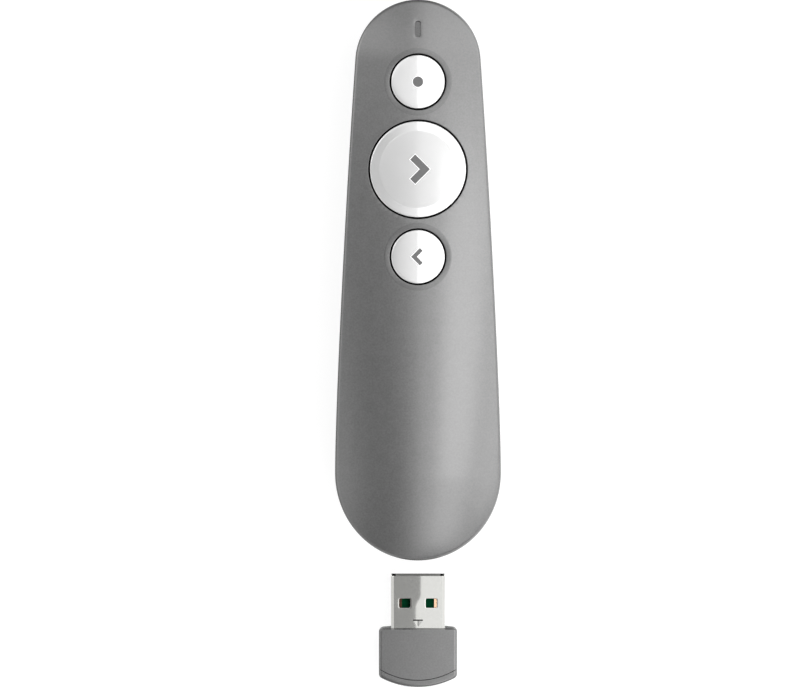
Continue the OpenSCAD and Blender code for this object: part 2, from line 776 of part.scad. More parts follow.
module status_led() color([0.9, 0.95, 0.85])
    translate([-0.8, slot_y - 0.4, board_top]) cube([1.6, 0.8, 0.6]);

module laser_window() color(smoke) along_y(window_back, parting_height) {
    cylinder(r = barrel_radius, h = window_flange, $fn = 64);
    cylinder(r = window_radius, h = window_front - window_back, $fn = 64);
}

module laser_barrel() color(gold) along_y(barrel_back, parting_height) difference() {
    cylinder(r = barrel_radius, h = barrel_length, $fn = 64);
    translate([0, 0, -1]) cylinder(r = barrel_bore, h = barrel_length + 0.2, $fn = 64);
    translate([0, 0, -1]) cylinder(r = 1.3, h = barrel_length + 2, $fn = 48);
}

module laser_lens() color([0.7, 0.8, 0.9]) intersection() {
    along_y(barrel_front - 3.6, parting_height) cylinder(r = barrel_bore, h = 2, $fn = 64);
    translate([0, barrel_front - 8, parting_height]) sphere(r = 6.2, $fn = 96);
}

module laser_diode() color(steel) along_y(barrel_back, parting_height) {
    cylinder(r = barrel_bore, h = 1.2, $fn = 64);
    translate([0, 0, 1.1]) cylinder(r = 1.6, h = 2.2, $fn = 48);
    for (a = [90, 210, 330]) rotate([0, 0, a]) translate([1.1, 0, -5])
        cylinder(r = 0.2, h = 5.1, $fn = 16);
}

// Board

module board_shape() {
    polygon([
        [-board_wide, board_back], [board_wide, board_back], [board_wide, board_neck - 3],
        [board_mid, board_neck + 1], [board_mid, nose_start - 2], [board_nose, nose_start + 1],
        [board_nose, board_front], [-board_nose, board_front], [-board_nose, nose_start + 1],
        [-board_mid, nose_start - 2], [-board_mid, board_neck + 1], [-board_wide, board_neck - 3]]);
}

module main_board() color(board_green) difference() {
    translate([0, 0, board_height]) linear_extrude(board_thick) board_shape();
    for (p = peg_places) translate([p.x, p.y, 0])
        cylinder(r = peg_radius + 0.05, h = body_height, $fn = 32);
    for (x = [-cell_place, cell_place])
        translate([x - 1.2, bay_end - plate_thick, board_height - 1])
            cube([2.4, plate_thick + 0.1, 4]);
}

module tact_switch(y) color([0.25, 0.25, 0.27]) difference() {
    translate([-switch_width / 2, foot_y(y) - switch_width / 2, board_top])
        cube([switch_width, switch_width, switch_height]);
    translate([0, foot_y(y), board_top + well_floor])
        cylinder(r = plunger_radius + plunger_gap, h = switch_height, $fn = 48);
}

module tact_plunger(y) color("black") {
    start = board_top + well_floor + travel(y) + plunger_rest;
    translate([0, foot_y(y), start])
        cylinder(r = plunger_radius, h = plunger_top - start, $fn = 48);
}

module laser_switch() tact_switch(laser_y);
module next_switch() tact_switch(0);
module back_switch() tact_switch(back_y);
module laser_plunger() tact_plunger(laser_y);
module next_plunger() tact_plunger(0);
module back_plunger() tact_plunger(back_y);

module radio_chip() color(smoke)
    translate([-chip_side / 2, chip_y - chip_side / 2, board_top])
        cube([chip_side, chip_side, chip_thick]);

module crystal() color(steel) translate([0, chip_y + chip_side / 2 + 0.8, board_top])
    rounded_plate(-crystal_length / 2, crystal_length / 2, 0, 0.6 * crystal_length,
                  0.3, chip_thick);

// Small components in two columns, clear of the contact tabs
module board_parts() color([0.55, 0.45, 0.35]) {
    for (s = [-1, 1]) for (i = [0:4])
        translate([s * (board_wide - chip_part) - chip_part / 2, chip_y - 3 + 1.6 * chip_part * i,
                   board_top])
            cube([chip_part, chip_part / 2, chip_part / 2]);
    for (s = [-1, 1]) translate([s * 3 - chip_part / 2, laser_y - 5, board_top])
        cube([chip_part, 0.8 * chip_part, 0.8 * chip_part]);
}

// Batteries

// One cell along Y, its button end in front, or behind when turned
module cell(x, turned) {
    back = bay_start + plate_thick + (turned ? 0 : spring_room);
    translate([x, turned ? back + cell_length : back, cell_height])
        rotate([turned ? 90 : -90, 0, 0]) rotate_extrude($fn = 96) difference() {
            union() {
                square([cell_radius, cell_length - cell_nub]);
                square([cell_nub_radius, cell_length]);
            }
            translate([cell_radius - cell_edge, cell_length - cell_nub]) rotate(-45)
                square([2 * cell_edge, 2 * cell_edge]);
        }
}

module battery_left() color([0.2, 0.2, 0.22]) cell(-cell_place, false);
module battery_right() color([0.2, 0.2, 0.22]) cell(cell_place, true);

// Cone-shaped coil along +Y from the origin, its wire swept as one closed tube
module coil(r0, r1, wire, length, turns) {
    steps = 14 * turns;
    sides = 6;
    function centre(i) = let (a = 360 * turns * i / steps, r = mix(r0, r1, i / steps))
        [r * cos(a), wire + (length - 2 * wire) * i / steps, r * sin(a)];
    function spoke(i) = let (a = 360 * turns * i / steps) [cos(a), 0, sin(a)];
    points = [for (i = [0:steps]) for (j = [0:sides - 1])
        centre(i) + wire * (cos(60 * j) * spoke(i) + sin(60 * j) * [0, 1, 0])];
    walls = [for (i = [0:steps - 1]) for (j = [0:sides - 1])
        let (a = i * sides + j, b = i * sides + (j + 1) % sides)
            each [[a, b, b + sides], [a, b + sides, a + sides]]];
    ends = [[for (j = [sides - 1:-1:0]) j], [for (j = [0:sides - 1]) steps * sides + j]];
    polyhedron(points = points, faces = concat(walls, ends), convexity = 8);
}

module contact_springs() color(steel) {
    translate([-cell_place, bay_start + plate_thick, cell_height])
        coil(spring_radius, 0.65 * spring_radius, spring_wire, spring_room, 3);
    translate([cell_place, bay_end - plate_thick, cell_height]) mirror([0, 1, 0])
        coil(spring_radius, 0.65 * spring_radius, spring_wire, spring_room, 3);
}

module contact_plates() color(steel) {
    plate_low = floor_wall + 0.4;
    plate_high = bay_ceiling - 0.1;
    translate([-bay_half + 0.4, bay_start, plate_low])
        cube([2 * bay_half - 0.8, plate_thick, plate_high - plate_low]);
    for (s = [-1, 1]) {
        translate([s * cell_place - 4.6, bay_end - plate_thick, plate_low])
            cube([9.2, plate_thick, plate_high - plate_low]);
        translate([s * cell_place - 1, bay_end - plate_thick, plate_high - 0.1])
            cube([2, plate_thick - 0.02, board_top + 0.5 - plate_high]);
    }
}

// Receiver

// Points of an arc, its angles counted from +X
function arc(centre, r, a0, a1, steps) =
    [for (i = [0:steps]) let (a = mix(a0, a1, i / steps)) centre + r * [cos(a), sin(a)]];

// Plan of the housing, moved in by d: a slightly domed front, and an end that follows the tail
function receiver_outline(d) = let (
    front_lean = asin((receiver_half - receiver_corner) / (front_radius - receiver_corner)),
    end_lean = asin((receiver_half - receiver_corner) / (end_radius - receiver_corner)),
    front_y = plug_back - front_radius
        + (front_radius - receiver_corner) * cos(front_lean),
    end_y = end_centre - (end_radius - receiver_corner) * cos(end_lean),
    right = receiver_half - receiver_corner,
    r = receiver_corner - d)
    concat(
        arc([right, end_y], r, end_lean - 90, 0, 4),
        arc([right, front_y], r, 0, 90 - front_lean, 4),
        arc([0, plug_back - front_radius], front_radius - d, 90 - 0.8 * front_lean,
            90 + 0.8 * front_lean, 6),
        arc([-right, front_y], r, 90 + front_lean, 180, 4),
        arc([-right, end_y], r, 180, 270 - end_lean, 4),
        arc([0, end_centre], end_radius - d, 270 - 0.9 * end_lean, 270 + 0.9 * end_lean, 10));

// Whole housing as one solid with rounded long edges
module receiver_slab() {
    low = receiver_lift;
    high = receiver_lift + receiver_height;
    rings = concat(
        [for (i = [0:3]) let (a = 30 * i) receiver_ring(a, low, 1)],
        [receiver_ring(90, receiver_middle - receiver_edge, 1)],
        [for (i = [3:-1:0]) let (a = 30 * i) receiver_ring(a, high, -1)]);
    n = len(rings[0]);
    last = (len(rings) - 1) * n;
    polyhedron(points = [for (r = rings) each r], faces = concat(
        [for (k = [0:len(rings) - 2]) for (i = [0:n - 1])
            let (a = k * n + i, b = k * n + (i + 1) % n) each [[a, a + n, b + n], [a, b + n, b]]],
        [[for (i = [0:n - 1]) i]],
        [[for (i = [n - 1:-1:0]) last + i]]), convexity = 4);
}

function receiver_ring(a, z, up) = let (
    h = z + up * receiver_edge * (1 - cos(a)),
    lean = 2 * max(0, h - receiver_middle) / receiver_height)
    [for (p = receiver_outline(receiver_edge * (1 - sin(a))))
        [p.x, p.y - lean * max(0, p.y - plug_back + front_set), h]];

// Everything on the plug's side of the joint with the end cap
module before_joint(r) {
    translate([0, end_centre, -1]) cylinder(r = r, h = 20, $fn = 256);
    translate([-20, end_centre, -1]) cube([40, 40, 20]);
}

module receiver_housing() color(casing_grey) difference() {
    intersection() {
        receiver_slab();
        before_joint(end_radius - end_cap);
    }
    // Socket for the plug
    along_y(plug_back - plug_root, receiver_middle)
        plug_block(plug_width, plug_height, plug_corner, 20);
    // Room for the board and its chip
    translate([-tongue_width / 2 - 0.1, tongue_back - 0.4, tongue_bottom])
        cube([tongue_width + 0.2, plug_back - tongue_back, plug_height - 2 * plug_sheet]);
}

module receiver_end_cap() color(casing_grey) difference() {
    receiver_slab();
    before_joint(end_radius - end_cap);
}

// Solid bar of the plug's section, along +Z here, with exact round corners
module plug_block(w, h, r, length) {
    for (x = [-1, 1]) for (y = [-1, 1]) translate([x * (w / 2 - r), y * (h / 2 - r), 0])
        cylinder(r = r, h = length, $fn = 32);
    translate([-w / 2, r - h / 2, 0]) cube([w, h - 2 * r, length]);
    translate([r - w / 2, -h / 2, 0]) cube([w - 2 * r, h, length]);
}

module usb_shell() color(steel) difference() {
    along_y(plug_back - plug_root, receiver_middle)
        plug_block(plug_width, plug_height, plug_corner, plug_length + plug_root);
    along_y(plug_back - plug_root - 1, receiver_middle)
        plug_block(plug_width - 2 * plug_sheet, plug_height - 2 * plug_sheet,
                   plug_corner - plug_sheet, plug_length + plug_root + 2);
    for (s = [-1, 1])
        translate([s * window_place.x - plug_window.x / 2,
                   plug_tip - window_place.y - plug_window.y / 2, receiver_middle - 10])
            cube([plug_window.x, plug_window.y, 20]);
}

module usb_tongue() color(board_green)
    translate([-tongue_width / 2, tongue_back, tongue_bottom])
        cube([tongue_width, plug_tip - 1 - tongue_back, tongue_thick]);

// Four gold strips: the outer two are wider and start nearer to the plug's mouth
module usb_contacts() color(gold) for (s = [-1, 1]) {
    contact(s * outer_strip.x, outer_contact, outer_strip.y);
    contact(s * inner_strip.x, inner_contact, inner_strip.y);
}

module contact(x, width, behind) {
    translate([x - width / 2, plug_tip - behind - contact_length, tongue_top])
        cube([width, contact_length, strip_thick]);
}

module receiver_chip() color(smoke)
    translate([-chip_size.x / 2, tongue_back + 1.5, tongue_top]) cube(chip_size);

top_shell();
bottom_shell();
battery_door();
housing_screws();
laser_button();
laser_dot();
next_button();
next_chevron();
back_button();
back_chevron();
button_frame();
led_window();
status_led();
laser_window();
laser_barrel();
laser_lens();
laser_diode();
main_board();
radio_chip();
crystal();
board_parts();
laser_switch();
next_switch();
back_switch();
laser_plunger();
next_plunger();
back_plunger();
battery_left();
battery_right();
contact_springs();
contact_plates();
receiver_housing();
receiver_end_cap();
usb_shell();
usb_tongue();
usb_contacts();
receiver_chip();
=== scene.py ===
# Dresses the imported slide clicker: casing, buttons, icons, receiver and plug,
# then the finishes of the other parts, the floor and the lights.
import bpy, bmesh
from math import sin, cos, atan2, asin, acos, hypot, copysign, pi, radians
from mathutils import Matrix, Vector


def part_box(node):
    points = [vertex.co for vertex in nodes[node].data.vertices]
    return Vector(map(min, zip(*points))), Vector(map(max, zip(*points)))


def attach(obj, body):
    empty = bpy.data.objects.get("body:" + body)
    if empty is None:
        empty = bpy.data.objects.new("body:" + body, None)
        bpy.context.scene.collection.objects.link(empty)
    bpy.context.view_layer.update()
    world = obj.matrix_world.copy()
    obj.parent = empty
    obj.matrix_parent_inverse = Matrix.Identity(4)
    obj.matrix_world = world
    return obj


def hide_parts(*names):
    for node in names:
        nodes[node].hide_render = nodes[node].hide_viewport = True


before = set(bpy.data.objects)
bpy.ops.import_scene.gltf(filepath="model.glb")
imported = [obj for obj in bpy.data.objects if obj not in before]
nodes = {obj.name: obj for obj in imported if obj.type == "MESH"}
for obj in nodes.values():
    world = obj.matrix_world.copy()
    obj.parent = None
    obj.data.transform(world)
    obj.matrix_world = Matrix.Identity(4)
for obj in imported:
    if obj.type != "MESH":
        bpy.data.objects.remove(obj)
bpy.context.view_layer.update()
mm = 0.001          # pieces are modelled in millimetres and shrunk when they are finished
weld = {"piece": 2e-4, "ring": 1e-3}            # how near two vertices are before they become one


def mix(a, b, s):
    return a + (b - a) * s


def boxOf(node):
    low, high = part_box(node)
    return low / mm, high / mm


# Rings and sweeps: every vertex of a ring carries its number, and a spot gives the place for it

def startMesh():
    bm = bmesh.new()
    bm.verts.layers.int.new("number")
    return bm


def makeRing(bm, count, spot):
    number = bm.verts.layers.int["number"]
    verts = bmesh.ops.create_circle(bm, segments=count, radius=1)["verts"]
    for i, v in enumerate(verts):
        v[number] = i
        v.co = spot(i)
    return verts


def ringEdges(verts):
    ring = set(verts)
    return list({e for v in verts for e in v.link_edges if e.other_vert(v) in ring})


def sweepRing(bm, verts, spots):
    number = bm.verts.layers.int["number"]
    faces = []
    for spot in spots:
        made = bmesh.ops.extrude_edge_only(bm, edges=ringEdges(verts))["geom"]
        verts = [g for g in made if isinstance(g, bmesh.types.BMVert)]
        faces += [g for g in made if isinstance(g, bmesh.types.BMFace)]
        for v in verts:
            v.co = spot(v[number])
    return verts, faces


def openHoles(bm, faces, holes, depth):
    doomed = {f for f in faces if any(h["near"](v.co) for v in f.verts for h in holes)}
    rim = list({e for f in doomed for e in f.edges if any(g not in doomed for g in e.link_faces)})
    bmesh.ops.delete(bm, geom=list(doomed), context="FACES")
    rings = [makeRing(bm, h["count"], lambda i, h=h: h["spot"](i, h["lip"], depth)) for h in holes]
    edges = rim + [e for r in rings for e in ringEdges(r)]
    made = bmesh.ops.triangle_fill(bm, edges=edges, use_beauty=True, normal=(0, 0, 1))["geom"]
    filled = {g for g in made if isinstance(g, bmesh.types.BMFace)}
    inner = list({e for f in filled for e in f.edges if filled.issuperset(e.link_faces)})
    bmesh.ops.beautify_fill(bm, faces=list(filled), edges=inner, method="ANGLE")
    return rings


def finishPiece(bm, name, body, slot, materials, *stands, crease=50):
    bmesh.ops.remove_doubles(bm, verts=bm.verts, dist=weld["piece"])
    bmesh.ops.recalc_face_normals(bm, faces=bm.faces)
    bmesh.ops.scale(bm, vec=(mm, mm, mm), verts=bm.verts)
    mesh = bpy.data.meshes.new(name)
    bm.to_mesh(mesh)
    bm.free()
    mesh.polygons.foreach_set("use_smooth", [True] * len(mesh.polygons))
    mesh.set_sharp_from_angle(angle=radians(crease))
    for material in materials:
        mesh.materials.append(material)
    piece = bpy.data.objects.new(name, mesh)
    bpy.context.scene.collection.objects.link(piece)
    evened = piece.modifiers.new("evened", "WEIGHTED_NORMAL")       # thin faces count for little
    evened.keep_sharp = True
    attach(piece, body)
    if stands:
        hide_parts(*stands)
    print(name, len(mesh.polygons), "faces")
    return piece


# Finishes

class Wire:         # one output socket, with arithmetic that adds Math nodes
    def __init__(self, finish, socket):
        self.finish, self.socket = finish, socket

    def calc(self, operation, *others):
        values = {i: o for i, o in enumerate((self,) + others)}
        return self.finish.add("ShaderNodeMath", {"operation": operation}, values)

    def __add__(self, other): return self.calc("ADD", other)
    def __radd__(self, other): return self.calc("ADD", other)
    def __sub__(self, other): return self.calc("SUBTRACT", other)
    def __rsub__(self, other): return (self * -1) + other
    def __mul__(self, other): return self.calc("MULTIPLY", other)
    def __rmul__(self, other): return self.calc("MULTIPLY", other)
    def __abs__(self): return self.calc("ABSOLUTE")


class Nodes:        # a node tree and the few kinds of node the finishes are made of
    def __init__(self, tree):
        self.tree = tree

    def add(self, kind, settings={}, values={}, output=0):
        node = self.tree.nodes.new(kind)
        for key, value in settings.items():
            if key == "stops":
                while len(node.color_ramp.elements) < len(value):
                    node.color_ramp.elements.new(0.5)
                for element, (at, tone) in zip(node.color_ramp.elements, value):
                    element.position, element.color = at, (tone, tone, tone, 1)
            else:
                setattr(node, key, value)
        for key, value in values.items():
            if isinstance(value, Wire):
                self.tree.links.new(value.socket, node.inputs[key])
            else:
                node.inputs[key].default_value = value
        return Wire(self, node.outputs[output])

    def spot(self, output=3):
        return self.add("ShaderNodeTexCoord", output=output)

    def axes(self, output=3):
        parts = self.add("ShaderNodeSeparateXYZ", values={0: self.spot(output)}).socket.node
        return [Wire(self, parts.outputs[k]) for k in range(3)]

    def seenBy(self, *kinds):           # 1 where the ray is of one of these kinds
        path = self.add("ShaderNodeLightPath").socket.node
        return sum(Wire(self, path.outputs[kind + " Ray"]) for kind in kinds).calc("MINIMUM", 1)

    def noise(self, scale, detail):
        return self.add("ShaderNodeTexNoise", values={
            "Vector": self.spot(), "Scale": scale, "Detail": detail, "Roughness": 0.5})

    def spread(self, wire, low, high, bottom=0.0, top=1.0):
        return self.add("ShaderNodeMapRange", {"clamp": True}, {
            0: wire, 1: low, 2: high, 3: bottom, 4: top})

    def blend(self, mask, first, second):
        return self.add("ShaderNodeMix", {"data_type": "RGBA"},
                        {0: mask, 6: first, 7: second}, output=2)

    def bump(self, height, distance, strength=1.0, softEdge=0):
        values = {"Height": height, "Distance": distance, "Strength": strength}
        if softEdge:
            values["Normal"] = self.add("ShaderNodeBevel", {"samples": 4}, {"Radius": softEdge})
        return self.add("ShaderNodeBump", values=values)


class Finish(Nodes):            # a material round its Principled shader
    def __init__(self, name, **constants):
        self.material = bpy.data.materials.new(name)
        self.material.use_nodes = True
        super().__init__(self.material.node_tree)
        self.shader = self.tree.nodes["Principled BSDF"]
        for key, value in constants.items():
            self.shader.inputs[socketName(key)].default_value = value

    def feed(self, **wires):
        for key, wire in wires.items():
            self.tree.links.new(wire.socket, self.shader.inputs[socketName(key)])


def socketName(key):
    return {"color": "Base Color", "roughness": "Roughness", "metallic": "Metallic", "ior": "IOR",
            "specular": "Specular IOR Level", "normal": "Normal", "glow": "Emission Color",
            "glowStrength": "Emission Strength"}[key]


def grey(tone):
    return (tone, tone, tone, 1)


satin = {"tone": 0.156, "shade": 0.119, "grain": 2600, "cloud": 400, "cloudShare": 0.2,
         "relief": 0.000003, "roughness": 0.24, "roughVary": 0.03,
         "receiverShare": 0.82, "ringShadeShare": 0.8, "cadEdge": 0.00015}


def satinCasing(name, share=1.0, softEdge=0):       # fine sparked texture of the grey mouldings
    f = Finish(name, specular=0.85, metallic=0.2)
    grain = f.noise(satin["grain"], detail=2)
    cloud = f.noise(satin["cloud"], detail=1)
    speck = grain * (1 - satin["cloudShare"]) + cloud * satin["cloudShare"]
    dark, pale = grey(satin["shade"] * share), grey(satin["tone"] * share)
    rough, vary = satin["roughness"], satin["roughVary"]
    f.feed(color=f.blend(f.spread(speck, 0.25, 0.75), dark, pale),
           roughness=f.spread(speck, 0.2, 0.8, rough - vary, rough + vary),
           normal=f.bump(grain, satin["relief"], 0.5, softEdge))
    return f.material


white = {"ripple": 300, "relief": 0.000004, "strength": 0.15, "vary": 0.015, "roughVary": 0.04}


def glossWhite(name, ior, base, roughness):         # polished caps and the satin pad
    f = Finish(name, ior=ior, specular=1.0)
    ripple = f.noise(white["ripple"], detail=2)
    duller, glossier = roughness * (1 + white["roughVary"]), roughness * (1 - white["roughVary"])
    f.feed(color=f.blend(ripple, grey(base - white["vary"]), grey(base + white["vary"])),
           roughness=f.spread(ripple, 0.3, 0.7, glossier, duller),
           normal=f.bump(ripple, white["relief"], white["strength"]))
    return f.material


def plainFinish(name, tone, roughness, relief=0.000004, metallic=0.0, specular=0.5,
                softEdge=0.0001, spreadBy=0.08, glow=0.0):          # a tone and its grain
    f = Finish(name, metallic=metallic, specular=specular, glow=tone + (1,), glowStrength=glow)
    grain = f.noise(2500, detail=3)
    pale = tuple(min(1, c * (1 + spreadBy)) for c in tone) + (1,)
    dark = tuple(c * (1 - spreadBy) for c in tone) + (1,)
    f.feed(color=f.blend(f.spread(grain, 0.3, 0.7), dark, pale),
           roughness=f.spread(grain, 0.3, 0.7, roughness * 0.85, min(1, roughness * 1.15)),
           normal=f.bump(grain, relief, 0.5, softEdge))
    return f.material


# painted shade: the dark pair is the contacts' shaded colour, the bright pair their lit colour,
# split across the middle
gold = {"bright": [(0.55, 0.36, 0.24, 1), (0.6, 0.4, 0.27, 1)],
        "shaded": [(0.03, 0.016, 0.01, 1), (0.07, 0.035, 0.024, 1)], "shadeAcross": (-0.002, 0.002)}


def sideShadedGold(name):         # painted shade: contacts left of the middle are painted dark as if shaded, those on the right bright as if lit
    f = Finish(name, metallic=1.0)
    grain = f.noise(3000, detail=2)
    bright, shaded = f.blend(grain, *gold["bright"]), f.blend(grain, *gold["shaded"])
    f.feed(color=f.blend(f.spread(f.axes()[0], *gold["shadeAcross"]), shaded, bright),
           roughness=f.spread(grain, 0.2, 0.8, 0.12, 0.2))
    return f.material


# Shares of the cell's length, a pair for each change
cell = {"shoulder": (0.7, 0.705), "bareTop": (0.965, 0.97), "bareFoot": (0.012, 0.008),
        "skin": (0.014, 0.014, 0.016, 1), "copper": (0.42, 0.17, 0.07, 1),
        "fleck": (0.09, 0.08, 0.075, 1), "steel": (0.55, 0.55, 0.56, 1), "copperMetal": 0.6}


def cellWrap(name, node, turned):           # foil: dark skin, a copper shoulder and bare ends
    low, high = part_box(node)
    f = Finish(name, specular=0.6)
    y = f.axes()[1]
    along = f.spread(y, high.y, low.y) if turned else f.spread(y, low.y, high.y)
    grain = f.noise(1800, detail=3)
    shoulder = f.spread(along, *cell["shoulder"])
    bare = f.spread(along, *cell["bareTop"]) + f.spread(along, *cell["bareFoot"])
    wrap = f.blend(shoulder, cell["skin"], cell["copper"])
    foil = f.blend(f.spread(grain, 0.3, 0.7, 0, 0.25), wrap, cell["fleck"])
    f.feed(color=f.blend(bare, foil, cell["steel"]),
           metallic=(bare + shoulder * cell["copperMetal"]).calc("MINIMUM", 1),
           roughness=f.spread(grain, 0.2, 0.8, 0.22, 0.34),
           normal=f.bump(grain, 0.000005, 0.4))
    return f.material


# Casing: the crowned upper shell of the solids, with finer rings and softened edges

shellLow, shellHigh = boxOf("top_shell")
casing = {
    "halfWidth": shellHigh.x, "tailEnd": shellLow.y, "tipEnd": shellHigh.y, "height": shellHigh.z,
    "joint": shellLow.z, "tipRadius": 14, "tailLength": 19.5, "tailPull": 15, "tipPull": 30,
    "tipFlare": 4, "peak": -34, "tipFall": 3, "tailFall": 3.2, "tipCrown": 1.6, "tailCrown": 4.8,
    "crownBlend": 1.8, "edge": 0.6, "sideTuck": 2, "wall": 1.8, "softEdge": 0.1,
    "notch": 2.38, "notchBeside": (1.2, 1.1), "browDrop": 0.1, "innerRow": 0.5,
    "tailSteps": 34, "sideSteps": 72, "tipSteps": 26, "notchSteps": 6, "sideRows": 6,
    "edgeSteps": 8, "crownRings": 18, "crownFrom": 0.945, "lowerCrease": 25, "flatFrom": 0.5,
}
tipCentre = casing["tipEnd"] - casing["tipRadius"]
tailCentre = casing["tailEnd"] + casing["tailLength"]
flare = radians(casing["tipFlare"])
tipJoint = Vector((casing["tipRadius"] * cos(flare), tipCentre + casing["tipRadius"] * sin(flare)))
tailJoint = Vector((casing["halfWidth"], tailCentre))
sideHandles = (tailJoint, tailJoint + Vector((0, casing["tailPull"])),
               tipJoint - casing["tipPull"] * Vector((-sin(flare), cos(flare))), tipJoint)


def sidePoint(s):
    a, b, c, d = sideHandles
    return (1 - s) ** 3 * a + 3 * s * (1 - s) ** 2 * b + 3 * s * s * (1 - s) * c + s ** 3 * d


def sideWidth(y):
    low, high = 0, 1
    for _ in range(30):
        middle = (low + high) / 2
        low, high = (middle, high) if sidePoint(middle).y < y else (low, middle)
    return sidePoint(low).x


def casingPlan():           # each number's edge and its foot on the middle line, from the tail
    c = casing
    half = []
    tip = c["tipRadius"]
    for i in range(c["tailSteps"] + 1):
        a = radians(-90 + 90 * i / c["tailSteps"])
        half.append((Vector((c["halfWidth"] * cos(a), tailCentre + c["tailLength"] * sin(a))),
                     Vector((0, tailCentre))))
    for i in range(1, c["sideSteps"] + 1):
        p = sidePoint(i / c["sideSteps"])
        share = (p.y - tailCentre) / (tipJoint.y - tailCentre)
        half.append((p, Vector((0, mix(tailCentre, tipCentre, share)))))
    far, close = [acos(share * c["notch"] / tip) for share in c["notchBeside"]]
    turns = [mix(flare, far, i / c["tipSteps"]) for i in range(1, c["tipSteps"] + 1)]
    turns.append(close)
    turns += [acos(c["notch"] / tip * cos(pi / 2 * k / c["notchSteps"]))
              for k in range(c["notchSteps"] + 1)]
    for a in turns:
        half.append((Vector((tip * cos(a), tipCentre + tip * sin(a))), Vector((0, tipCentre))))
    return half + [(Vector((-p.x, p.y)), foot) for p, foot in half[-2:0:-1]]


plan = casingPlan()


def crownLine(y):
    c = casing
    if y > c["peak"]:
        return c["height"] - c["tipFall"] * ((y - c["peak"]) / (c["tipEnd"] - c["peak"])) ** 2
    return c["height"] - c["tailFall"] * ((c["peak"] - y) / (c["peak"] - c["tailEnd"])) ** 2


def crownFall(y):
    c = casing
    share = max(0, (c["tipEnd"] - y) / (c["tipEnd"] - c["tailEnd"]))
    return mix(c["tipCrown"], c["tailCrown"], share ** c["crownBlend"])


def outShare(x, y):
    if y > tipCentre:
        return hypot(x, y - tipCentre) / casing["tipRadius"]
    if y < tailCentre:
        return hypot(x / casing["halfWidth"], (y - tailCentre) / casing["tailLength"])
    return abs(x) / sideWidth(y)


def crownHeight(x, y):
    return crownLine(y) - crownFall(y) * outShare(x, y) ** 2


def crownDown(y):           # straight into the crown
    slope = (crownHeight(0, y + 0.01) - crownHeight(0, y - 0.01)) / 0.02
    return Vector((0, slope, -1)).normalized()


def rollRadius(y):
    return sideWidth(y) ** 2 / (2 * crownFall(y))


def sideTuck(h):
    c = casing
    return c["sideTuck"] * max(0, 1 - h / (c["height"] - c["tailFall"] - c["tailCrown"])) ** 2


def notchTop(x, y):         # the joint rises over the laser's window
    rise = max(0, casing["notch"] ** 2 - x * x) ** 0.5
    return casing["joint"] + rise if y > 0 else 0


def sideSpot(inset, h):
    def spot(i):
        edge, foot = plan[i]
        length = (edge - foot).length
        z = max(h, notchTop(edge.x * (1 - inset / length), edge.y))
        p = foot + (1 - (inset + sideTuck(z)) / length) * (edge - foot)
        return Vector((p.x, p.y, z))
    return spot


def roofSpot(inset, sink):
    def spot(i):
        edge, foot = plan[i]
        share = 1 - inset / (edge - foot).length
        p = foot + share * (edge - foot)
        return Vector((p.x, p.y, crownLine(p.y) - crownFall(p.y) * share ** 2 - sink))
    return spot


def shareSpot(share, sink):
    def spot(i):
        edge, foot = plan[i]
        p = foot + share * (edge - foot)
        return Vector((p.x, p.y, crownLine(p.y) - crownFall(p.y) * share ** 2 - sink))
    return spot


def crownSkin(bm, ring, sink):
    count = casing["crownRings"]
    shares = [casing["crownFrom"] * (1 - k / count) for k in range(count + 1)]
    ring, faces = sweepRing(bm, ring, [shareSpot(s, sink) for s in shares])
    bmesh.ops.remove_doubles(bm, verts=ring, dist=weld["ring"])
    return [f for f in faces if f.is_valid]


def roundOver(size, steps=4):           # how far out and deep, from the surface round into a wall
    turns = [pi / 2 * k / steps for k in range(1, steps + 1)]
    return [(size * (1 - sin(a)), size * (1 - cos(a))) for a in turns]


# hole walls deeper than the given depth are painted near-black: painted shade in the button gaps
# and the light-pipe slot
hole = {"pitch": 19.5, "bigRadius": 10.7, "smallRadius": 5.95, "gap": 0.39, "softEdge": 0.1,
        "ringRadius": 7.55, "ringDepth": 0.012, "ringSoft": 0.5, "ringKeep": 0.2, "paintedShadeFrom": 0.9,
        "slotPlace": 31.3, "slotLength": 3.6, "slotWidth": 1.37, "slotEdge": 0.04, "clear": 0.6,
        "bigSteps": 160, "smallSteps": 112, "slotSteps": 40, "ringSteps": 6}


def crownHole(y, radius, straight, count, path, ringRows=0):            # round, or a long slot
    down = crownDown(y)
    lip = path[0][0]
    flatten = (1 - hole["ringKeep"]) * hole["ringRadius"] / rollRadius(y)

    def spot(i, out, depth, ringReach=0):
        a = 2 * pi * (i + 0.5) / count
        r = radius + out
        p = Vector((r * cos(a), y + copysign(straight, sin(a)) + r * sin(a)))
        ring = ringReach * (hole["ringDepth"] + flatten * cos(a) ** 2)
        return Vector((p.x, p.y, crownHeight(p.x, p.y) - ring)) + depth * down

    def near(p):
        beyond = max(0, abs(p.y - y) - straight)
        return hypot(p.x, beyond) < radius + lip + hole["clear"]

    return {"spot": spot, "near": near, "count": count, "lip": lip, "path": path,
            "ringRows": ringRows}


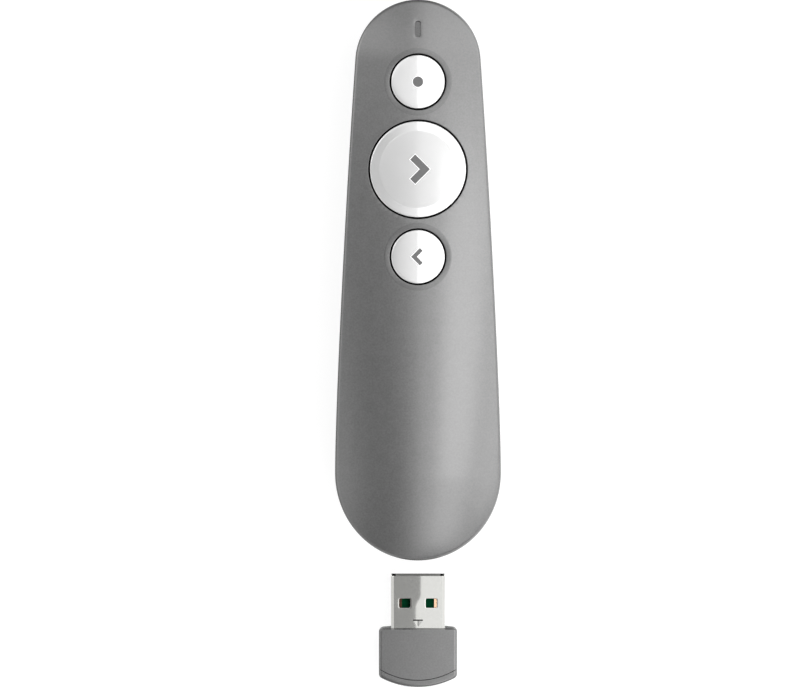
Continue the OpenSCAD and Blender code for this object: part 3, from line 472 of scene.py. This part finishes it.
def casingHoles():
    h, wall = hole, casing["wall"]
    soft, shadeDepth = h["softEdge"], h["paintedShadeFrom"]
    plainPath = [(soft, 0)] + roundOver(soft) + [(0, shadeDepth), (0, wall)]
    ringOut = h["ringRadius"] - h["smallRadius"] - h["gap"]
    ease, steps = h["ringSoft"], h["ringSteps"]
    blendTo = ringOut - ease
    reach = ease / 2 + blendTo - soft           # the slope eases in, then runs straight to the hole
    ringPath = [(ringOut - ease * k / steps, 0, ease / 2 * (k / steps) ** 2)
                for k in range(steps + 1)]
    ringPath += [(mix(blendTo, soft, k / 2), 0, mix(ease / 2, reach, k / 2)) for k in (1, 2)]
    ringRows = len(ringPath) - 1
    ringPath += [(o, d, reach) for o, d in roundOver(soft)] + [(0, shadeDepth, reach), (0, wall, 0)]
    slotPath = [(h["slotEdge"], 0)] + roundOver(h["slotEdge"]) + [(0, shadeDepth), (0, wall)]
    slotHalf = h["slotWidth"] / 2
    smallHole = h["smallRadius"] + h["gap"]
    return [
        crownHole(0, h["bigRadius"] + h["gap"], 0, h["bigSteps"], plainPath),
        crownHole(h["pitch"], smallHole, 0, h["smallSteps"], ringPath, ringRows),
        crownHole(-h["pitch"], smallHole, 0, h["smallSteps"], ringPath, ringRows),
        crownHole(h["slotPlace"], slotHalf, h["slotLength"] / 2 - slotHalf, h["slotSteps"],
                  slotPath)]


def makeUpperCasing(materials):
    c = casing
    joint, soft, wall, edge = c["joint"], c["softEdge"], c["wall"], c["edge"]
    bm = startMesh()
    start = makeRing(bm, len(plan), sideSpot(soft, joint))
    brow = c["height"] - c["tailFall"] - c["tailCrown"] - edge - c["browDrop"]
    heights = [mix(joint + soft, brow, k / c["sideRows"]) for k in range(c["sideRows"] + 1)]
    turns = [pi / 2 * k / c["edgeSteps"] for k in range(c["edgeSteps"] + 1)]
    outside = [sideSpot(soft * 0.3, joint + soft * 0.3)] + [sideSpot(0, h) for h in heights]
    outside += [roofSpot(edge * (1 - cos(a)), edge * (1 - sin(a))) for a in turns]
    ring, _ = sweepRing(bm, start, outside)
    outer = crownSkin(bm, ring, 0)
    inside = [sideSpot(wall, joint), sideSpot(wall, joint + c["innerRow"]), roofSpot(wall, wall)]
    ring, _ = sweepRing(bm, start, inside)
    inner = crownSkin(bm, ring, wall)
    holes = casingHoles()
    for h, ring in zip(holes, openHoles(bm, outer, holes, 0)):
        spots = [lambda i, at=at, h=h: h["spot"](i, *at) for at in h["path"][1:]]
        _, faces = sweepRing(bm, ring, spots)
        # the recess ring's rows take the darker ring satin: painted shade
        for f in faces[:h["ringRows"] * h["count"]]:
            f.material_index = 2
        # the deepest rows of each hole wall get the near-black finish: painted shade in the gap
        for f in faces[-2 * h["count"]:]:
            f.material_index = 1
    for h in holes:
        h["lip"] = 0
    openHoles(bm, inner, holes, wall)
    return finishPiece(bm, "upperCasing", "remote", "casing", materials, "top_shell")


def makeLowerCasing(material):          # the solid's faces, joined so that its walls shade evenly
    bm = bmesh.new()
    bm.from_mesh(nodes["bottom_shell"].data)
    bmesh.ops.scale(bm, vec=(1 / mm, 1 / mm, 1 / mm), verts=bm.verts)
    piece = finishPiece(bm, "lowerCasing", "remote", "casing", (material,), "bottom_shell",
                        crease=casing["lowerCrease"])
    for face in piece.data.polygons:
        face.use_smooth = abs(face.normal.z) < casing["flatFrom"]


# Buttons

button = {"proud": 0.35, "edge": 0.2, "seatDepth": 2.25, "flangeReach": 0.8, "flangeThick": 0.8,
          "capWall": 1.2, "ceiling": 1.6, "post": 1.6, "postGap": 0.1, "shadeFrom": 0.25,
          "skirtRow": 1.2, "bendAbove": -0.7, "steps": 144, "flatRows": 6, "edgeRows": 8,
          "padRadius": 8.6, "padStep": 0.008, "padRise": 0.17, "padSoft": 0.05, "padFlat": 0.98,
          "padRows": 12, "padSlope": 0.4}


def padTop(r):
    b = button
    return b["proud"] + b["padStep"] + b["padRise"] * (1 - (r / b["padRadius"]) ** 2)


def buttonProfile(radius, padded, postEnd):
    b = button
    top, edge, soft = b["proud"], b["edge"], b["padSoft"]
    skirt = -b["seatDepth"]
    inner = radius - b["capWall"]
    if padded:
        pad, rows = b["padRadius"], b["padRows"]
        inside = [pad * b["padFlat"] * k / rows for k in range(rows + 1)] + [pad - 2 * soft]
        points = [(r, padTop(r)) for r in inside]
        points += [(pad - soft, padTop(pad)), (pad, mix(padTop(pad), top, b["padSlope"])),
                   (pad + soft, top), (pad + 2 * soft, top)]
        flatFrom = pad + 2 * soft
    else:
        points = [(0, top)]
        flatFrom = 0
    points += [(mix(flatFrom, radius - edge, k / b["flatRows"]), top)
               for k in range(1, b["flatRows"] + 1)]
    turns = [pi / 2 * k / b["edgeRows"] for k in range(1, b["edgeRows"] + 1)]
    points += [(radius - edge + edge * sin(a), top - edge + edge * cos(a)) for a in turns]
    flange, foot = radius + b["flangeReach"], skirt - b["flangeThick"]
    points += [(radius, -b["shadeFrom"]), (radius, -b["skirtRow"]), (radius, skirt),
               (flange, skirt), (flange, foot), (inner, foot), (inner, -b["ceiling"]),
               (b["post"], -b["ceiling"]), (b["post"], postEnd), (0, postEnd)]
    return points


def seatOnCrown(bm, y):             # bends the top to the crown, then tilts it into place
    roll = rollRadius(y)
    for v in bm.verts:
        if v.co.z > button["bendAbove"]:
            v.co.z -= v.co.x ** 2 / (2 * roll)
    down = crownDown(y)
    tilt = Matrix.Rotation(atan2(-down.y, -down.z) * -1, 4, "X")
    place = Matrix.Translation((0, y, crownHeight(0, y)))
    bmesh.ops.transform(bm, matrix=place @ tilt, verts=bm.verts)


def makeButton(name, node, plunger, y, radius, padded):
    bm = bmesh.new()
    postEnd = boxOf(plunger)[1].z + button["postGap"] - crownHeight(0, y)
    verts = [bm.verts.new((r, 0, z)) for r, z in buttonProfile(radius, padded, postEnd)]
    edges = [bm.edges.new(pair) for pair in zip(verts, verts[1:])]
    bmesh.ops.spin(bm, geom=verts + edges, cent=(0, 0, 0), axis=(0, 0, 1), dvec=(0, 0, 0),
                   angle=2 * pi, steps=button["steps"], use_merge=True)
    bmesh.ops.remove_doubles(bm, verts=bm.verts, dist=weld["ring"])
    for f in bm.faces:
        middle = f.calc_center_median()
        onPad = padded and hypot(middle.x, middle.y) < button["padRadius"] and middle.z > 0
        # faces below shadeFrom get the near-black finish: painted shade on the skirt seen down the
        # gap
        f.material_index = 1 if middle.z < -button["shadeFrom"] else 2 if onPad else 0
    seatOnCrown(bm, y)
    return finishPiece(bm, name, node, "button_white", (whiteGloss, paintedShadeBlack, padSatin), node)


icon = {"lift": 0.012, "depth": 0.35, "border": 0.12, "cuts": 3, "dot": 1.17, "dotSteps": 64,
        "bigReach": 3.32, "bigStroke": 1.64, "bigShift": -0.62,
        "smallReach": 1.98, "smallStroke": 0.93, "smallShift": -0.42}


def dotOutline():
    radius, steps = icon["dot"] + icon["border"], icon["dotSteps"]
    return [(radius * cos(2 * pi * k / steps), radius * sin(2 * pi * k / steps))
            for k in range(steps)]


def chevronOutline(reach, stroke, shift):           # grown by the border on every side
    s = stroke / 2 ** 0.5 + icon["border"] * 2 ** 0.5
    reach += icon["border"] * 2 ** 0.5
    corners = [(reach, 0), (0, reach), (-s, reach - s),
               (reach - 2 * s, 0), (-s, s - reach), (0, -reach)]
    return [(x + shift, y) for x, y in corners]


def makeIcon(name, node, body, y, outline, padded, material):
    bm = bmesh.new()
    bm.faces.new([bm.verts.new((across, along, 0)) for across, along in outline])
    bm.normal_update()
    border = bmesh.ops.inset_region(bm, faces=bm.faces, thickness=icon["border"],
                                    use_boundary=True, use_even_offset=True)
    # the border faces take the second, glowing white finish: painted light
    for f in border["faces"]:
        f.material_index = 1
    bmesh.ops.triangulate(bm, faces=bm.faces, quad_method="BEAUTY", ngon_method="BEAUTY")
    bmesh.ops.subdivide_edges(bm, edges=bm.edges, cuts=icon["cuts"], use_grid_fill=True)
    for v in bm.verts:
        level = padTop(hypot(v.co.x, v.co.y)) if padded else button["proud"]
        v.co.z = level + icon["lift"]
    made = bmesh.ops.extrude_face_region(bm, geom=bm.faces)["geom"]
    bmesh.ops.translate(bm, vec=(0, 0, -icon["depth"]),
                        verts=[g for g in made if isinstance(g, bmesh.types.BMVert)])
    seatOnCrown(bm, y)
    return finishPiece(bm, name, body, "icon_grey", (material, borderPaintedGlow), node)


# Receiver: housing and end cap meet on an arc that follows the end

housingLow, housingHigh = boxOf("receiver_housing")
capLow, capHigh = boxOf("receiver_end_cap")
receiver = {"half": housingHigh.x, "low": housingLow.z, "high": housingHigh.z,
            "front": housingHigh.y, "end": capLow.y, "corner": 1.05, "edge": 0.6, "bulge": 0.5,
            "capLength": 1.5, "seamChamfer": 0.09, "crown": 0.12, "lean": 1.1,
            "flatInset": 0.1, "flatOpen": 1.1, "frontShare": 0.8, "endShare": 0.9,
            "cornerSteps": 8, "frontSteps": 16, "endSteps": 20, "seamSteps": 12, "edgeSteps": 7}
endRadius = casing["halfWidth"] ** 2 / casing["tailLength"]
endCentre = Vector((0, receiver["end"] + endRadius))
frontRadius = (receiver["half"] ** 2 + receiver["bulge"] ** 2) / (2 * receiver["bulge"])
frontCentre = Vector((0, receiver["front"] - frontRadius))


def arcEntries(centre, radius, start, stop, steps):
    return [("arc", centre, radius, mix(start, stop, k / steps)) for k in range(steps + 1)]


def seamEntries(side):          # the cap's side runs the other way round
    count = receiver["seamSteps"]
    return [("seam", -side * s * receiver["half"] / count, side) for s in range(-count, count + 1)]


def receiverSides():
    r = receiver
    right = r["half"] - r["corner"]
    frontLean = asin(right / (frontRadius - r["corner"]))
    endLean = asin(right / (endRadius - r["corner"]))
    frontY = frontCentre.y + (frontRadius - r["corner"]) * cos(frontLean)
    endY = endCentre.y - (endRadius - r["corner"]) * cos(endLean)
    return right, frontLean, endLean, frontY, endY


def housingPlan():
    r = receiver
    right, lean, _, y, _ = receiverSides()
    steps, reach = r["cornerSteps"], r["frontShare"] * lean
    return (arcEntries(Vector((right, y)), r["corner"], 0, pi / 2 - lean, steps)
            + arcEntries(frontCentre, frontRadius, pi / 2 - reach, pi / 2 + reach, r["frontSteps"])
            + arcEntries(Vector((-right, y)), r["corner"], pi / 2 + lean, pi, steps)
            + seamEntries(-1))


def capPlan():
    r = receiver
    right, _, lean, _, y = receiverSides()
    steps, reach = r["cornerSteps"], r["endShare"] * lean
    return (seamEntries(1)
            + arcEntries(Vector((-right, y)), r["corner"], pi, 1.5 * pi - lean, steps)
            + arcEntries(endCentre, endRadius, 1.5 * pi - reach, 1.5 * pi + reach, r["endSteps"])
            + arcEntries(Vector((right, y)), r["corner"], 1.5 * pi + lean, 2 * pi, steps))


def seamY(x):
    radius = endRadius - receiver["capLength"]
    return endCentre.y - (radius * radius - x * x) ** 0.5


def receiverSpot(entries, inset, z, open=0.0, share=1.0):
    r = receiver

    def spot(i):
        entry = entries[i]
        if entry[0] == "arc":
            p = entry[1] + (entry[2] - inset) * Vector((cos(entry[3]), sin(entry[3])))
        else:
            x = entry[1] * (r["half"] - inset) / r["half"]
            p = Vector((x, seamY(x) - entry[2] * open))
        p = Vector((p.x * share, p.y))
        above = max(0, 2 * z - r["low"] - r["high"]) / (r["high"] - r["low"])
        back = above * max(0, p.y - r["front"] + r["lean"])
        fallen = above ** 3 * r["crown"] * (p.x / r["half"]) ** 2
        return Vector((p.x, p.y - back, z - fallen))
    return spot


def makeReceiverPart(name, node, entries, material, shares):        # shares draw the flat faces in
    r = receiver
    edge, low, high, chamfer = r["edge"], r["low"], r["high"], r["seamChamfer"]
    turns = [pi / 2 * k / r["edgeSteps"] for k in range(r["edgeSteps"] + 1)]
    bm = startMesh()
    middle = makeRing(bm, len(entries), receiverSpot(entries, 0, (low + high) / 2))
    for z, up in ((high, 1), (low, -1)):
        rim = [receiverSpot(entries, edge * (1 - cos(a)), z - up * edge * (1 - sin(a)),
                            chamfer * sin(a) ** 4) for a in turns]
        rim += [receiverSpot(entries, edge + r["flatInset"], z, chamfer * r["flatOpen"], share)
                for share in [1] + shares]
        ring, _ = sweepRing(bm, middle, rim)
        if shares:
            bmesh.ops.remove_doubles(bm, verts=ring, dist=weld["ring"])
        else:
            bmesh.ops.triangle_fill(bm, edges=ringEdges(ring), use_beauty=True, normal=(0, 0, 1))
    return finishPiece(bm, name, "receiver", "casing", (material,), node)


# Plug: a folded sheet with windows, a soft ridge along its top and a stamped mark

shellBack, shellTip = boxOf("usb_shell")
plug = {"half": shellTip.x, "low": shellBack.z, "high": shellTip.z,
        "back": shellBack.y, "tip": shellTip.y, "sheet": 0.3, "corner": 0.6, "cornerPower": 1.7,
        "ridge": 0.035, "ridgeSoft": 0.35, "rearShift": -0.5, "tipShift": 0.65,
        "shiftPlace": -96.2, "shiftLength": 2.8,
        "windowX": 2.97, "windowBehind": 6.6, "windowWide": 2.5, "windowLong": 2.05,
        "windowCorner": 0.3, "windowSoft": 0.07, "windowSteps": 28,
        "flap": 0.56, "flapDrop": 0.3, "notch": (5.1, 5.85),
        "markWide": 2.1, "markLong": 1.5, "markFromHousing": -0.65, "markDepth": 0.04,
        "markLine": 0.28, "stemHalf": 0.07, "stemShare": 0.75,
        "markBefore": 0.1, "markAfter": 0.4, "lineFrom": 0.3, "markRows": 26, "rows": 46,
        "cornerSteps": 5, "flatSteps": 56, "wallSteps": 8, "gather": 0.65}


def plugSection():          # (point, outward direction) round the section, seen from the tip
    p = plug
    tall = (p["high"] - p["low"]) / 2
    centre = (p["high"] + p["low"]) / 2
    section = []
    across = p["half"] - p["corner"]
    rise = tall - p["corner"]
    for turn, (sx, sz) in enumerate([(1, 1), (-1, 1), (-1, -1), (1, -1)]):
        for k in range(p["cornerSteps"] + 1):
            a = radians(90 * turn + 90 * k / p["cornerSteps"])
            out = Vector((cos(a), sin(a)))
            bevel = Vector([copysign(abs(c) ** p["cornerPower"], c) for c in out])
            section.append((Vector((sx * across, centre + sz * rise)) + p["corner"] * bevel, out))
        nx, nz = [(-1, 1), (-1, -1), (1, -1), (1, 1)][turn]
        last, out = section[-1]
        target = Vector((nx * across, centre + nz * rise)) + p["corner"] * out
        steps = p["wallSteps"] if turn % 2 else p["flatSteps"]
        gather = 0 if turn % 2 else p["gather"]         # closer together in the middle
        for k in range(1, steps):
            t = 2 * k / steps - 1
            t = (1 - gather) * t + gather * t ** 3
            section.append((last.lerp(target, (t + 1) / 2), out))
    return section


def ridgeFall(x, y):
    p = plug
    s = min(1, max(0, (y - p["shiftPlace"]) / p["shiftLength"] + 0.5))
    apex = mix(p["rearShift"], p["tipShift"], s * s * (3 - 2 * s))
    return p["ridge"] * (hypot(x - apex, p["ridgeSoft"]) - p["ridgeSoft"])


def markDent(x, y):         # the triangle is pressed in towards its wide edge
    p = plug
    point = receiver["front"] + p["markFromHousing"]
    along = (y - point) / p["markLong"]
    if 0 < along < 1 and abs(x) < along * p["markWide"] / 2:
        return p["markDepth"] * (along - 2 * abs(x) / p["markWide"])
    return 0


def flapFall(y):            # the ends of the sheet are bent in at the tip
    p = plug
    return p["flapDrop"] * min(1, max(0, (y - p["tip"] + p["flap"]) / p["flap"]))


def plugSpot(section, inset, y):
    def spot(i):
        point, out = section[i]
        q = point - out * inset
        z = q.y
        z -= flapFall(y) * out.y
        if out.y > 0:
            z -= (ridgeFall(q.x, y) + (markDent(q.x, y) if out.y > 0.99 else 0)) * out.y
        return Vector((q.x, y, z))
    return spot


def plugWindow(x, top):
    p = plug
    y = p["tip"] - p["windowBehind"]
    wide, long, corner = p["windowWide"], p["windowLong"], p["windowCorner"]
    soft, count = p["windowSoft"], p["windowSteps"]
    z = p["high"] if top else p["low"]
    away = -1 if top else 1

    def spot(i, out, depth):
        quarter, k = divmod(i, count // 4)
        a = radians(90 * quarter + 90 * k / (count // 4 - 1))
        sx, sy = [(1, 1), (-1, 1), (-1, -1), (1, -1)][quarter]
        q = Vector((x + sx * (wide / 2 - corner), y + sy * (long / 2 - corner)))
        q += (corner + out) * Vector((cos(a), sin(a)))
        fall = ridgeFall(q.x, q.y) if top else 0
        return Vector((q.x, q.y, z - fall + away * depth))

    def near(q):
        return (abs(q.z - z) < 0.75 and abs(q.x - x) < wide / 2 + soft + 0.1
                and abs(q.y - y) < long / 2 + soft + 0.1)

    path = [(soft, 0)] + roundOver(soft) + [(0, p["sheet"])]
    return {"spot": spot, "near": near, "count": count, "lip": soft, "path": path}


def makePlug(material):
    p = plug
    section = plugSection()
    bm = startMesh()
    back, tip, sheet = p["back"], p["tip"], p["sheet"]
    markFrom = receiver["front"] + p["markFromHousing"] - p["markBefore"]
    markTo = markFrom + p["markLong"] + p["markAfter"]
    along = [back, mix(back, markFrom, 0.5)]
    along += [mix(markFrom, markTo, k / p["markRows"]) for k in range(p["markRows"] + 1)]
    along += [mix(markTo, tip - p["flap"], k / p["rows"]) for k in range(1, p["rows"] + 1)]
    along += [tip - p["flap"] + 0.03, tip - 0.38, tip - 0.22]           # the end bent in
    start = makeRing(bm, len(section), plugSpot(section, 0, back))
    ring, outer = sweepRing(bm, start, [plugSpot(section, 0, y) for y in along[1:]])
    for f in bm.faces:
        middle = f.calc_center_median()
        # the slits at the bent-in corners and the mark's line and stem get the near-black finish:
        # painted shade
        if middle.y > tip - p["flap"] and abs(middle.x) < p["notch"][1]:
            f.material_index = 1 if abs(middle.x) > p["notch"][0] else 2
        if middle.z > p["low"] + 1 and abs(middle.x) < p["markWide"] / 2:
            above = middle.y - markTo + p["lineFrom"]
            onLine = 0 < above < p["markLine"]
            onStem = abs(middle.x) < p["stemHalf"] and -p["stemShare"] * p["markLong"] < above < 0
            if onLine or onStem:
                f.material_index = 1
    rounded = ((0.02, 0.08), (0.08, 0.03), (0.15, 0), (0.22, 0.02), (0.28, 0.1), (sheet, 0.2))
    ring, _ = sweepRing(bm, ring, [plugSpot(section, i, tip - b) for i, b in rounded])
    ring, inner = sweepRing(bm, ring, [plugSpot(section, sheet, y) for y in reversed(along[:-1])])
    sweepRing(bm, ring, [plugSpot(section, 0, back)])
    for top in (True, False):
        windows = [plugWindow(side * p["windowX"], top) for side in (-1, 1)]
        skins = [[f for f in skin if f.is_valid] for skin in (outer, inner)]
        for h, ring in zip(windows, openHoles(bm, skins[0], windows, 0)):
            sweepRing(bm, ring, [lambda i, at=at, h=h: h["spot"](i, *at) for at in h["path"][1:]])
        for h in windows:
            h["lip"] = 0
        openHoles(bm, skins[1], windows, sheet)
    return finishPiece(bm, "plugShell", "receiver", "steel", (material, paintedShadeBlack, flapSteel),
                       "usb_shell", crease=25)


# Camera, floor, world and lamps

view = {"centre": (-4.01, -38.83), "height": 600, "width": 178.3}


def makeCamera():
    camera = bpy.data.cameras.new("camera")
    camera.type = "ORTHO"
    camera.ortho_scale = view["width"] * mm
    camera.clip_end = 10
    eye = bpy.data.objects.new("camera", camera)
    eye.location = Vector((view["centre"][0], view["centre"][1], view["height"])) * mm
    bpy.context.scene.collection.objects.link(eye)
    bpy.context.scene.camera = eye


makeCamera()
print("camera ready")

greySatin = satinCasing("greySatin")
# a darker copy of the casing satin for the recess ring round the small buttons: painted shade in
# the recess
ringShadedSatin = satinCasing("ringShadedSatin", satin["ringShadeShare"])
receiverSatin = satinCasing("receiverSatin", satin["receiverShare"])
greySatinCad = satinCasing("greySatinSoftEdges", softEdge=satin["cadEdge"])
# near-black painted shade, put where gaps, slits and stamped lines fall into shadow
paintedShadeBlack = plainFinish("paintedShadeBlack", (0.004, 0.004, 0.004), 0.7, specular=0.1, softEdge=0)
makeUpperCasing((greySatin, paintedShadeBlack, ringShadedSatin))
makeLowerCasing(greySatinCad)
print("casing ready")

whiteGloss = glossWhite("whiteGloss", 2.1, 0.665, 0.05)
padSatin = glossWhite("padSatin", 1.6, 0.58, 0.2)
iconInk = plainFinish("iconInk", (0.15, 0.15, 0.15), 0.5, specular=0.3, softEdge=0)
# white icon borders that glow a little by emission: painted light
borderPaintedGlow = plainFinish("borderPaintedGlow", (0.93, 0.93, 0.93), 0.4, softEdge=0, spreadBy=0.02,
                          glow=0.35)
makeButton("nextButton", "next_button", "next_plunger", 0, hole["bigRadius"], True)
makeButton("laserButton", "laser_button", "laser_plunger", hole["pitch"], hole["smallRadius"],
           False)
makeButton("backButton", "back_button", "back_plunger", -hole["pitch"], hole["smallRadius"],
           False)
nextOutline = chevronOutline(icon["bigReach"], icon["bigStroke"], icon["bigShift"])
smallOutline = chevronOutline(icon["smallReach"], icon["smallStroke"], icon["smallShift"])
backOutline = [(-x, y) for x, y in smallOutline]
makeIcon("nextIcon", "next_chevron", "next_button", 0, nextOutline, True, iconInk)
makeIcon("laserIcon", "laser_dot", "laser_button", hole["pitch"], dotOutline(), False, iconInk)
makeIcon("backIcon", "back_chevron", "back_button", -hole["pitch"], backOutline, False, iconInk)
print("buttons ready")

makeReceiverPart("receiverHousing", "receiver_housing", housingPlan(), receiverSatin,
                 [1 - k / 8 for k in range(1, 9)])
makeReceiverPart("receiverCap", "receiver_end_cap", capPlan(), receiverSatin, [])
plugSteel = plainFinish("plugSteel", (0.32, 0.32, 0.309), 0.13, metallic=1.0, relief=3e-7,
                        softEdge=0, spreadBy=0.03)
flapSteel = plainFinish("flapSteel", (0.24, 0.24, 0.23), 0.5, metallic=0.3, softEdge=0)
makePlug(plugSteel)
print("receiver ready")

blackPlastic = plainFinish("blackPlastic", (0.03, 0.03, 0.03), 0.4)
chipBlack = plainFinish("chipBlack", (0.02, 0.02, 0.022), 0.45)
springSteel = plainFinish("springSteel", (0.5, 0.5, 0.5), 0.3, metallic=1.0)
otherParts = {
    "battery_door": greySatinCad,
    "housing_screws": plainFinish("screwSteel", (0.45, 0.45, 0.46), 0.3, metallic=1.0),
    "button_frame": plainFinish("frameBlack", (0.03, 0.03, 0.03), 0.5),
    "led_window": plainFinish("lightPipe", (0.105, 0.105, 0.105), 0.3),
    "status_led": plainFinish("ledResin", (0.7, 0.75, 0.6), 0.2),
    "laser_window": plainFinish("smokedLens", (0.012, 0.012, 0.014), 0.08),
    "laser_barrel": plainFinish("barrelBrass", (0.72, 0.5, 0.2), 0.3, metallic=1.0),
    "laser_lens": plainFinish("lensGlass", (0.6, 0.7, 0.8), 0.05),
    "laser_diode": plainFinish("diodeSteel", (0.5, 0.5, 0.5), 0.25, metallic=1.0),
    "main_board": plainFinish("boardGreen", (0.01, 0.12, 0.05), 0.4),
    "radio_chip": chipBlack, "receiver_chip": chipBlack,
    "crystal": plainFinish("crystalSteel", (0.5, 0.5, 0.5), 0.3, metallic=1.0),
    "board_parts": plainFinish("partTan", (0.35, 0.25, 0.16), 0.45),
    "usb_tongue": plainFinish("tongueGreen", (0.0, 0.06, 0.022), 0.6, specular=0.02),
    "usb_contacts": sideShadedGold("contactGold"),
    "laser_switch": blackPlastic, "next_switch": blackPlastic, "back_switch": blackPlastic,
    "laser_plunger": blackPlastic, "next_plunger": blackPlastic, "back_plunger": blackPlastic,
    "battery_left": cellWrap("leftCell", "battery_left", False),
    "battery_right": cellWrap("rightCell", "battery_right", True),
    "contact_springs": springSteel, "contact_plates": springSteel,
}
for node, finish in otherParts.items():
    for slot in nodes[node].material_slots:
        slot.material = finish
print("finishes ready")

# Directions are unit vectors, distances are in metres; a pair says where a change starts and ends
studio = {
    "floorTone": 0.22, "floorGlow": 0.92, "drop": 0.2,
    "keySpan": (0, 0.36), "keyAlong": (-0.75, 0.34), "keyHeight": 0.36, "keyRadiance": 2.2,
    "peakSpan": (0.072, 0.205), "peakAlong": (-0.14, 0.04), "peakRadiance": 2.85,
    "tailAlong": (-0.6, -0.14), "tailRadiance": 1.4, "peakHeight": 0.355,
    "dark": 0.1, "glow": 1.2, "glowReach": 0.24, "glowEase": 1.3, "glowSlant": 0.12,
    "glowSide": (0.002, 0),
    "slantAlong": (0.12, 0.25), "leftSpan": (-0.45, -0.8), "leftBright": 1.8,
    "rightSpan": (0.5, 0.7), "rightBright": 2.4,
    "tipAlong": (0.08, 0.24), "tipFade": (0.9, 0.25), "tipLeft": (0.02, -0.22), "tipLight": 2.5,
    "tipRight": (-0.05, 0.05), "tipGlow": 1.2,
    "lowHeight": (0.25, 0.05), "lowSpan": (0, 0.6), "lowLight": (1, 2),
    "frontAlong": (0.6, 0.8), "frontHeight": (-0.05, 0.05), "frontTone": 0.5,
    "belowAlong": (0.2, 0.5), "belowSpan": (0.4, 0.2), "below": 0.1,
    "softSpan": (-0.8, 0.8), "softLight": (0.22, 0.26),
}


def makeFloor():
    bm = bmesh.new()
    bmesh.ops.create_grid(bm, x_segments=1, y_segments=1, size=1.5)
    bmesh.ops.translate(bm, vec=(0, 0, -studio["drop"] * mm), verts=bm.verts)
    mesh = bpy.data.meshes.new("floor")
    bm.to_mesh(mesh)
    bm.free()
    f = Finish("floorPaint", color=grey(studio["floorTone"]), roughness=0.9, specular=0.1,
               glow=grey(1), glowStrength=studio["floorGlow"])
    behind = Wire(f, f.add("ShaderNodeNewGeometry").socket.node.outputs["Backfacing"])
    clear = f.add("ShaderNodeBsdfTransparent")
    mixed = f.add("ShaderNodeMixShader", values={0: f.seenBy("Is Camera") * (1 - behind), 1: clear,
                                                 2: Wire(f, f.shader.outputs[0])})
    f.tree.links.new(mixed.socket, f.tree.nodes["Material Output"].inputs["Surface"])
    mesh.materials.append(f.material)
    floor = bpy.data.objects.new("floor", mesh)
    bpy.context.scene.collection.objects.link(floor)


def makeLamp(name, span, along, height, radiance):
    lamp = bpy.data.lights.new(name, "AREA")
    lamp.shape = "RECTANGLE"
    lamp.size, lamp.size_y = span[1] - span[0], along[1] - along[0]
    lamp.energy = radiance * pi * lamp.size * lamp.size_y
    holder = bpy.data.objects.new(name, lamp)
    holder.location = (sum(span) / 2, sum(along) / 2, height)
    holder.visible_camera = False
    bpy.context.scene.collection.objects.link(holder)


def makeWorld():            # what the glossy parts reflect, and a soft even light for the rest
    world = bpy.data.worlds.new("studio")
    bpy.context.scene.world = world
    world.use_nodes = True
    f = Nodes(world.node_tree)
    s = studio
    x, y, z = f.axes(0)
    slanted = x - f.spread(y, *s["slantAlong"], 0, s["glowSlant"])
    glow = f.spread(slanted, -s["glowReach"], 0).calc("POWER", s["glowEase"])
    side = glow * f.spread(x, *s["glowSide"]) * s["glow"] + s["dark"]
    side = side + f.spread(x, *s["leftSpan"], 0, s["leftBright"])
    side = side + f.spread(x, *s["rightSpan"], 0, s["rightBright"])
    tip = f.spread(y, *s["tipAlong"]) * f.spread(y, *s["tipFade"])
    side = side + tip * f.spread(x, *s["tipLeft"], 0, s["tipLight"])
    side = side + tip * f.spread(x, *s["tipRight"], 0, s["tipGlow"])
    low = f.spread(z, *s["lowHeight"])
    around = side * (1 - low) + low * f.spread(x, *s["lowSpan"], *s["lowLight"])
    front = f.spread(y, *s["frontAlong"]) * f.spread(z, *s["frontHeight"])
    under = f.spread(z, *reversed(s["frontHeight"])) * f.spread(y, *s["belowAlong"])
    under = under * f.spread(abs(x), *s["belowSpan"])
    glossy = around * (1 - front) * (1 - under) + front * s["frontTone"] + under * s["below"]
    isGlossy = f.seenBy("Is Glossy", "Is Transmission")
    isCamera = f.seenBy("Is Camera")
    soft = f.spread(x, *s["softSpan"], *s["softLight"])
    light = glossy * isGlossy + soft * (1 - isGlossy)
    shown = light * (1 - isCamera) + isCamera
    bright = f.add("ShaderNodeCombineColor", values={k: shown for k in range(3)})
    f.tree.links.new(bright.socket, f.tree.nodes["Background"].inputs["Color"])


makeFloor()
for name, span, along, height in (("key", "keySpan", "keyAlong", "keyHeight"),
                                  ("peak", "peakSpan", "peakAlong", "peakHeight"),
                                  ("tail", "peakSpan", "tailAlong", "peakHeight")):
    makeLamp(name + "Panel", studio[span], studio[along], studio[height],
             studio[name + "Radiance"])
makeWorld()
bpy.context.scene.view_settings.view_transform = "Standard"
print("studio ready")
